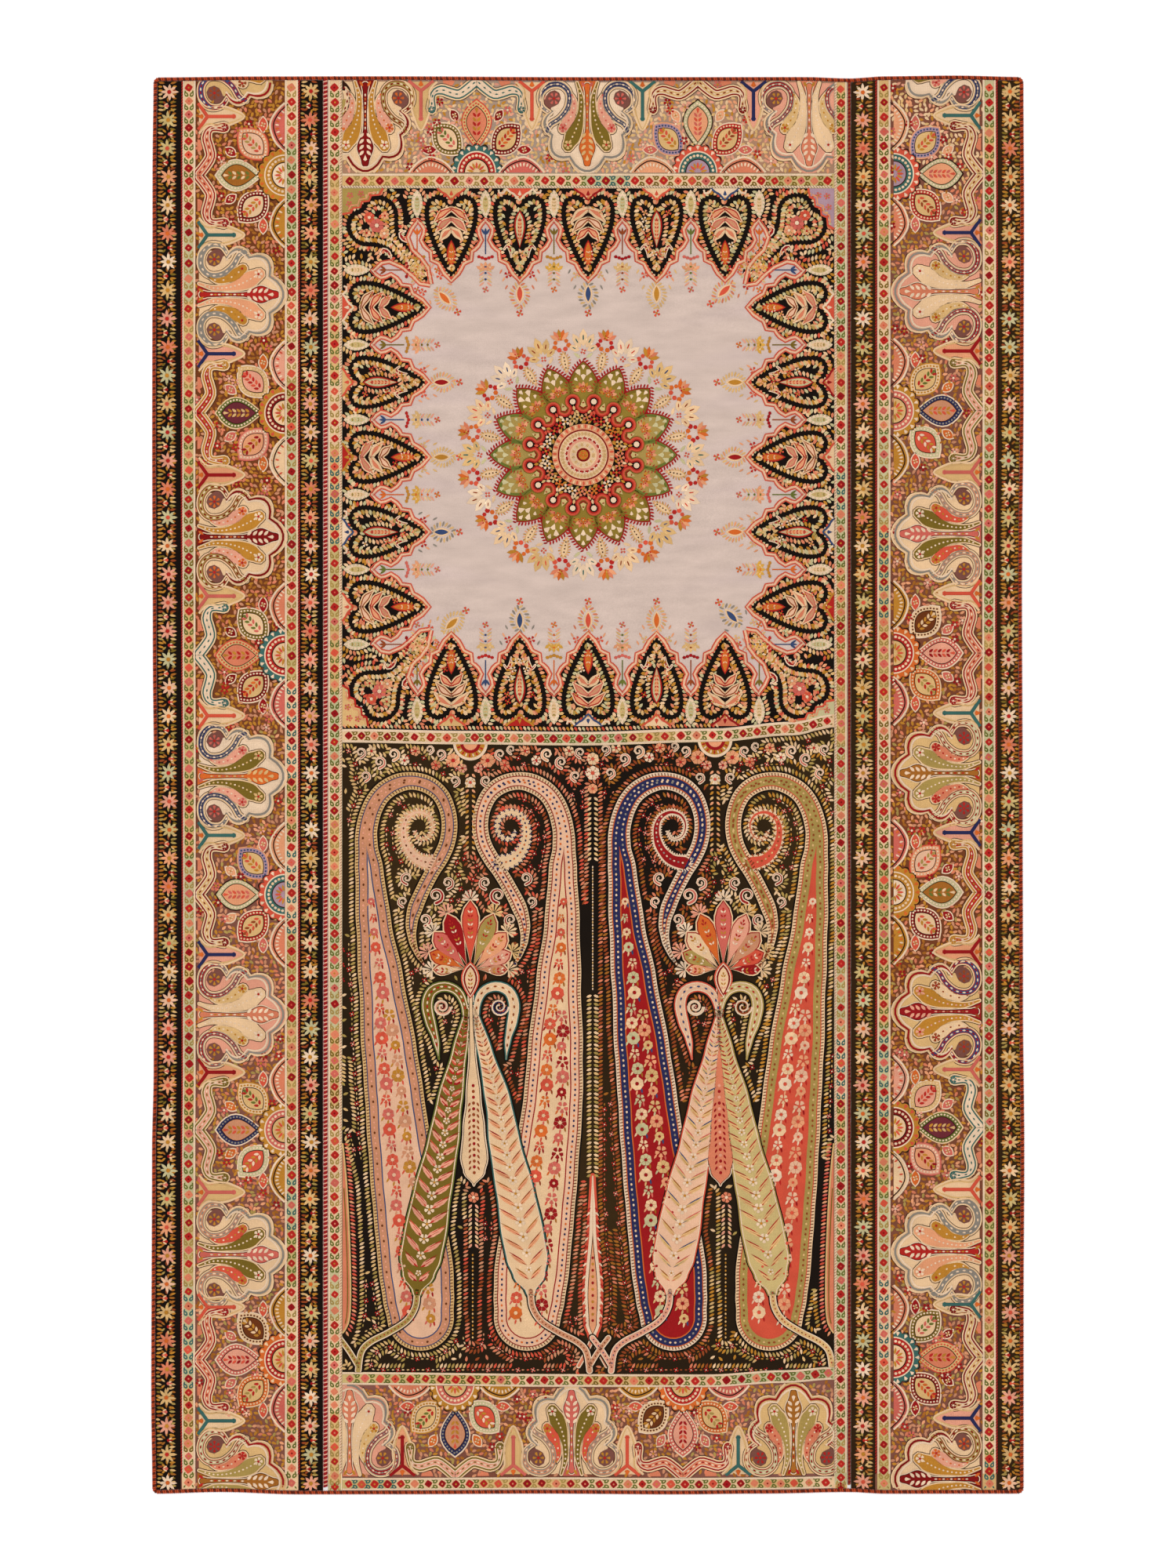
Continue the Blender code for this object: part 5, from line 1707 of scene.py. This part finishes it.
def workBoteh(work, pair, mirror, dye):
    spot = spotAt(work, 0, 0)
    body, widths = widthsOf(turnedPlan(bodyPlan, pair, mirror))
    nested(spot, lambda trim: limbShape(body, widths, trim, 5.0),
           (("black", -2.0), (dye["teeth"], 0), (dye["line"], 4.4), (dye["band"], 5.6)), 1)
    edge = limbShape(body, widths, 2.2, 5.0)
    trail(spot, edge, 4.0, "bar", 3.8, 1.1, ("brown",), 6, -0.6, 1.35, closed=True)
    dotted = limbShape(body, widths, 10.0, 5.0)
    arch = [point for point in dotted if point[1] > 985]
    trail(spot, arch, 6.6, "dot", 3.4, 2.8, dye["dots"], 6, closed=True)
    filling = [(x, y, max(width - 30, 0.6)) for x, y, width in turnedPlan(bodyPlan, pair, mirror)[18:]]
    middle, spread = widthsOf(filling)
    nested(spot, lambda trim: limbShape(middle, spread, trim, 5.0), ((dye["line"], 0), (dye["filling"], 1.5)), 5)
    for k, (x, y, angle) in enumerate(evenSteps(curveThrough(middle, 4.0), 19.5, 70)):
        half = smoothWidth(spread, (70 + 19.5 * k) / 640) / 2
        for aside in ((-0.47, 0.47) if half > 14 else (0.0,)):
            flower = dye["flowers"][(k * 2 + (aside > 0)) % 4]
            px, py = x + half * aside + rng.uniform(-1.5, 1.5), y + (9 if aside > 0 else 0)
            size = min(16.0, half + 3.5)
            size *= (1.0, 0.72, 0.9)[(k + (aside > 0)) % 3]
            posy(spot, px, py, size, flower, dye["filling"], 7, (8, 5, 7)[k % 3])
            stitchOn(spot, "dot", px, py, 0, size * 0.3, size * 0.3, dye["filling"], 9)
            stitchOn(spot, "dot", px, py, 0, size * 0.16, size * 0.16, dye["dots"][1], 10)
            for turn, lean in ((0.9, 0.5), (2.5, -0.4), (1.6, 0.2)):
                stitchOn(spot, "leaf", px + size * 0.62 * math.cos(turn), py + size * 0.72 * math.sin(turn), turn + lean,
                         7.0, 2.6, dye["flowers"][(k + 1) % 4] if turn > 1 else dye["chevrons"][k % 3], 7)
    spiral, taper = widthsOf(turnedPlan(spiralPlan, pair, mirror))
    nested(spot, lambda trim: limbShape(spiral, taper, trim, 3.0), ((dye["teeth"], -1.4), (dye["filling"], 0.8)), 3)
    trail(spot, limbShape(spiral, taper, -1.2, 3.0), 3.4, "bar", 3.6, 1.6, ("ivory", dye["dots"][0]), 4, 0, 1.2, closed=True)
    for x, y, size, hand in ((519, 1120, 8, 1), (514, 1150, 7, 1), (542, 1173, 8, -1), (556, 1142, 10, -1), (571, 1126, 8, -1)):
        (px, py), = turnedPlan([(x, y)], pair, mirror)
        curlOn(spot, px, py, size, -hand if mirror else hand, dye["chevrons"][1], 2)
    beads = spiral[1:]
    trail(spot, curveThrough(spiral, 4.0)[:22], 5.6, "dot", 3.0, 2.4, dye["dots"][:2], 6)
    for aside, lean in ((6.4, -1.0), (-6.4, 1.0)):
        line = shifted(curveThrough(beads, 4.0), aside)
        for x, y, angle in evenSteps(line, 5.0, 1.0):
            if not isTaken(work, x, y):
                stitchOn(spot, "leaf", x, y, angle + lean, 7.0, 3.2, rng.choice(dye["leaves"]), 2)
    markTaken(work, discShape(*turnedPlan([(535, 1056)], pair, mirror)[0], 23))
    club, clubWidths = widthsOf(turnedPlan(clubPlan, pair, mirror))
    volute, voluteWidths = widthsOf(turnedPlan(volutePlan, pair, mirror))
    for points, sizes in ((volute, voluteWidths), (club, clubWidths)):
        nested(spot, lambda trim: limbShape(points, sizes, trim, 5.0),
               (("black", -1.8), (dye["clubLine"], -0.4), ("ivory", 1.2), (dye["club"], 2.6)), 8)
    trail(spot, curveThrough(volute, 4.0)[6:-4], 5.0, "leaf", 4.6, 2.4, (dye["chevrons"][0], "ivory"), 13)
    (x, y), = turnedPlan([(564, 1284)], pair, mirror)
    curl = [(x + (12 - k * 0.42) * math.cos(k * 0.45), y + (12 - k * 0.42) * math.sin(k * 0.45)) for k in range(26)]
    rowOn(spot, curl, "ivory", 2.4, 9)
    rowOn(spot, [(x + (px - x) * 0.82, y + (py - y) * 0.82) for px, py in curl], dye["dots"][0], 1.8, 9)
    chevrons(spot, turnedPlan(clubPlan, pair, mirror), dye, 12)
    stem = turnedPlan(stemLine, pair, mirror)
    for line, width in ((stem, 8.4), (turnedPlan(forkLine, pair, mirror), 7.4)):
        nested(spot, lambda trim: limbShape(line, ((0, width), (1, width)), trim),
               (("black", -1.6), ("ivory", 0), (dye["stem"], 1.4)), 9)
        trail(spot, curveThrough(line, 4.0), 5.2, "dot", 2.2, 1.8, (dye["chevrons"][0], "brown"), 13)


def workPalmette(work, pair, dye, motif):
    # a fan of long petals with fringed ends, over the slender drop that hangs between the clubs
    x0 = turnedPlan([(600, 1240)], pair, False)[0][0]
    spot = spotAt(work, x0, 1240)
    fills = ("coral", "sage", "crimson", "peach", "rose", "pink", "orange", "tan", "cream")
    for k, (turn, length, width) in enumerate(((-1.42, 50, 17), (1.42, 50, 17), (-1.06, 62, 23), (1.06, 62, 23), (-0.7, 74, 27), (0.7, 74, 27),
                                               (-0.36, 86, 26), (0.36, 86, 26), (0, 98, 25))):
        tip = (length * math.sin(turn), -length * math.cos(turn) + 4)
        base = (7 * math.sin(turn), -4)
        fill = fills[(8 - k + 4 * motif) % 9]
        nested(spot, lambda trim: leafShape(base, tip, width, 0.7, trim, 8),
               (("black", -1.6), ("cream", 0), ("crimson", 1.6), (fill, 2.8)), 2 + k * 0.3)
        sprig(spot, (tip[0] * 0.45, tip[1] * 0.45), (tip[0] * 0.85, tip[1] * 0.85), ("ivory", "gold", "red"), 9, 4.6, 5.4)
        angle = math.atan2(tip[1], tip[0])
        for lean in (-1.5, -1.0, -0.5, 0.0, 0.5, 1.0, 1.5):
            reach = 5 + 3 * math.cos(lean)
            stitchOn(spot, "drop", tip[0] * 0.98 + reach * math.cos(angle + lean), tip[1] * 0.98 + reach * math.sin(angle + lean),
                     angle + lean, 12.0, 3.6, ("ivory", "cream", "pink", "straw")[k % 4], 4)
    ys, xs = zip(*pair["axis"])
    drop, sizes = widthsOf([(float(np.interp(y, ys, xs)) + x - 604.0, y, width) for x, y, width in dropPlan])
    filling, first, second = dye
    nested(spotAt(work, 0, 0), lambda trim: limbShape(drop, sizes, trim),
           (("black", -1.8), ("ivory", 0), ("brownBlack", 1.4), (filling, 2.2)), 8)
    line = curveThrough(drop, 4.0)
    trail(spotAt(work, 0, 0), line[34:-3], 7.4, "dot", 4.6, 4.2, (first, second), 12)
    trail(spotAt(work, 0, 0), line[40:-5], 7.4, "leaf", 6.0, 2.6, (second,), 12, 5.5, 0.5, twin=True)
    nested(spot, lambda trim: leafShape((0, 34), (0, -14), 24, 0.55, trim, 8),
           (("coral", 0), ("ivory", 1.8), ("deepRed", 3.2), ("cream", 5.4)), 11)
    sprig(spot, (0, 22), (0, 2), (first, "gold"), 15, 4.0, 5.0)
    posy(spot, 4, 287, 13, "salmon", "ivory", 2, 6)
    trail(spot, [(4, 296), (4, 352)], 5.6, "leaf", 7.0, 3.2, ("pink", "cream", "straw"), 2, 4.2, 0.7, twin=True)
    trail(spot, [(3, 358), (3, 470)], 5.0, "dot", 3.0, 2.4, ("gold", "straw"), 2)
    markTaken(work, onDraft(spot, [(-4, 280), (11, 280), (7, 470), (-1, 470)]))


def workFieldTop(work, x, y):
    # half a rosette under the band, with scrolls and a spray between the arches
    spot = spotAt(work, x, y)
    for radius, dye, level in ((22, "ivory", 2), (18.5, "gold", 3), (13, "crimson", 4), (9, "peach", 5)):
        fillOn(spot, discShape(0, -2, radius, 0, 180, 3.0), dye, level)
    trail(spot, discShape(0, -2, 15.6, 0, 180, 3.0), 4.6, "leaf", 5.0, 2.4, ("ivory", "red"), 6, 0, 1.57)
    for sign in (-1, 1):
        posy(spot, sign * 22, 20, 17, "peach", "red", 2, 7)
        posy(spot, sign * 10, 30, 11, "pink", "crimson", 2, 6)
        for u, v, size, dye in ((38, 12, 7, "rose"), (52, 6, 6, "crimson"), (20, 46, 7, "crimson"), (98, 12, 8, "peach"),
                                (116, 22, 8, "rose"), (134, 40, 7, "coral"), (140, 10, 7, "crimson")):
            curlOn(spot, sign * u, v, size, sign, dye, 2)
        for u, v, petal in ((70, 8, "peach"), (84, 20, "ivory"), (126, 8, "cream"), (44, 26, "salmon")):
            posy(spot, sign * u, v, 12, petal, "red", 2, 6)
    posy(spot, 0, 48, 13, "ivory", "coral", 2, 7)
    trail(spot, [(0, 36), (0, 140)], 6.6, "leaf", 6.4, 3.2, ("peach", "gold", "straw"), 2, 4.2, 0.8, twin=True)
    markTaken(work, [(x - 8, y), (x + 8, y), (x + 3, y + 140), (x - 3, y + 140)])


def workMiddleColumn(work, x, dye):
    # the line of pale leaves between two pairs, and the slender drop at its foot
    spot = spotAt(work, x, 0)
    for y, size, petal in ((968, 15, "cream"), (986, 17, "ivory"), (1006, 12, "peach")):
        posy(spot, 0, y, size, petal, "coral", 2, 7)
    trail(spot, [(0, 1016), (0, 1100)], 6.4, "leaf", 7.0, 3.4, ("cream", "straw"), 2, 4.4, 0.9, twin=True)
    trail(spot, [(0, 1104), (0, 1262)], 3.7, "dot", 3.2, 1.9, ("ivory", "straw"), 2)
    trail(spot, [(0, 1268), (0, 1500)], 5.2, "leaf", 7.4, 3.6, ("cream", "straw", "sage"), 2, 4.6, 1.2, twin=True)
    nested(spot, lambda trim: limbShape([(0, 1500), (0, 1560), (0, 1640), (0, 1690), (0, 1704)],
                                        ((0, 2), (0.3, 8), (0.75, 21), (0.93, 18), (1, 8)), trim),
           (("coral", -3.0), ("ivory", 0.0), ("brownBlack", 4.0), (dye, 4.8)), 3)
    for sign in (-1, 1):
        trail(spot, [(sign * 5, 1540), (sign * 12, 1640), (sign * 10, 1690)], 5.4, "leaf", 7.0, 2.4, ("red", "ivory", "coral"), 8,
              0, -sign * 0.7)
    trail(spot, [(0, 1600), (0, 1690)], 8.0, "dot", 4.0, 3.6, ("crimson", "gold"), 8)
    markTaken(work, [(x - 5, 1000), (x + 5, 1000), (x + 6, 1700), (x - 6, 1700)])
    for sign in (-1, 1):
        nested(spot, lambda trim: limbShape([(0, 1706), (sign * 8, 1724), (sign * 18, 1742)], ((0, 6), (1, 6)), trim),
               (("ivory", 0), ("salmon", 1.4)), 3)


def fieldLeafDyes(x, y, level):
    number = min(max(int((x - 436) / 157), 0), 3)
    return botehDyes[number]["outer" if level > 22 else "leaves"]


paisleyWork = works["field_paisley"]
for number, dye in enumerate(botehDyes):
    workBoteh(paisleyWork, pairTurns[number // 2], number % 2 == 1, dye)
for motif, pair in enumerate(pairTurns):
    workPalmette(paisleyWork, pair, dropDyes[motif], motif)
workFieldTop(paisleyWork, 600, 950)
workFieldTop(paisleyWork, 912, 946)
workMiddleColumn(paisleyWork, 756, "peach")
for x, sign in ((middleLeft + 0.4, 1), (middleRight - 0.4, -1)):
    # half a slim drop lies along each side
    spot = spotAt(paisleyWork, x, 0, (sign, 0), (0, 1))
    slim = curveThrough([(0, 1458), (5, 1510), (9, 1590), (10, 1660), (7, 1688), (0, 1700)], 6.0)
    fillOn(spot, slim, "salmon", 2)
    rowOn(spot, slim, "straw", 2.2, 3)
    rowOn(spot, [(u - 3.6, v) for u, v in slim if u > 5], "olive", 1.4, 3)
    trail(spot, slim, 4.6, "leaf", 7.6, 3.0, ("coral", "peach", "rose"), 2, -5.4, -1.15)
    markTaken(paisleyWork, onDraft(spot, [(0, 1448), (15, 1510), (20, 1590), (20, 1670), (14, 1704), (0, 1712)]))
headLine = [(x, paisleyWork["top"](x)) for x in np.linspace(middleLeft, middleRight, 40)]
markTaken(paisleyWork, headLine + [(middleRight, 900), (middleLeft, 900)])
followOutlines(paisleyWork, (436, 1064, 924, 1757),
               ((4.8, 1.1), (10.0, 0), (15.2, -1.1), (26.8, 1.1), (32.0, 0), (37.2, -1.1), (48.8, 1.1)),
               fieldLeafDyes, ("crimson", "red", "rose"), (7.7, 3.2, 4.9))
followOutlines(medallionWork, (436, 1064, 240, 926), ((4.6, 1.1), (11.4, -1.1), (18.2, 1.1), (25.0, -1.1)),
               lambda x, y, level: medallionDyes["outer" if level > 10 else "leaves"], medallionDyes["blossoms"],
               (7.4, 3.8, 5.0))
print("fields planned")

for name, work in works.items():
    cloth = finishPiece(sheetObject(name, work), [name])
    onIt = [finishPiece(maker(work, wool["stitch"]))
            for key, maker in (("fills", fillObject), ("rows", rowObject), ("stitches", stitchObject)) if work[key]]
    x = (work["left"] + work["right"]) / 2
    along = (work["bottom"](x) - work["top"](x)) * unit
    print("worked", name, {key: len(work[key]) for key in ("fills", "rows", "stitches")})

# Cords of overcast yarn, in draft units; the binding's path runs round the whole rug.
cords = {
    "seam_cord_left": {"x": 415.3, "width": 5.8, "height": 0.0040, "pitch": 2.7, "slant": 0.35,
                       "first": "pink", "second": "crimson", "share": 0.5},
    "seam_cord_right": {"x": 1083.0, "width": 4.2, "height": 0.0040, "pitch": 2.5, "slant": 0.35,
                        "first": "rust", "second": "deepRed", "share": 0.5},
    "edge_binding": {"width": 5.2, "height": 0.0041, "pitch": 2.6, "slant": 0.3, "corner": 7.5,
                     "first": "binding", "second": "bindingDark", "share": 0.34},
}


def cordObject(name, plan):
    if "x" in plan:
        path = [(plan["x"], y) for y in np.arange(sides["top"] - 1.0, sides["bottom"] + 1.0, 16.0)]
    else:
        inset = plan["width"] / 2 + 0.3
        low, high = sides["left"] - draft["bindingWidth"] + inset, sides["right"] + draft["bindingWidth"] - inset
        first, last = sides["top"] - draft["bindingWidth"] + inset, sides["bottom"] + draft["bindingWidth"] - inset
        corner = plan["corner"] - inset
        path = []
        for x, y, turn in ((high - corner, first + corner, -90), (high - corner, last - corner, 0),
                           (low + corner, last - corner, 90), (low + corner, first + corner, 180)):
            bend = discShape(x, y, corner, turn, turn + 90, 1.5)
            if path:
                count = round(math.dist(path[-1], bend[0]) / 16)
                (x0, y0), (x1, y1) = path[-1], bend[0]
                path += [(x0 + (x1 - x0) * k / count, y0 + (y1 - y0) * k / count) for k in range(1, count)]
            path += bend
        (x0, y0), (x1, y1) = path[-1], path[0]
        path += [(x0 + (x1 - x0) * k / 68, y0) for k in range(1, 68)]
    edges = [(i, i + 1) for i in range(len(path) - 1)] + ([] if "x" in plan else [(len(path) - 1, 0)])
    mesh = bpy.data.meshes.new(name)
    points = placePoints([(x, y, 0) for x, y in path])
    points[:, 2] = plan["height"] / 2 + 0.0004
    mesh.from_pydata(points, edges, [])
    made = objectFrom(name + "_yarn", mesh)
    return runTree(made, trees["cord"], {
        "Width": (plan["width"] - 1.2) * unit, "Height": plan["height"] - 0.0014, "Pitch": plan["pitch"] * unit,
        "Slant": plan["slant"], "First": dyes[plan["first"]] + (1.0,), "Second": dyes[plan["second"]] + (1.0,),
        "Second Share": plan["share"], "Wool": wool["cord"]})


for name, plan in cords.items():
    finishPiece(cordObject(name, plan), [name])

studio()
photoCamera()
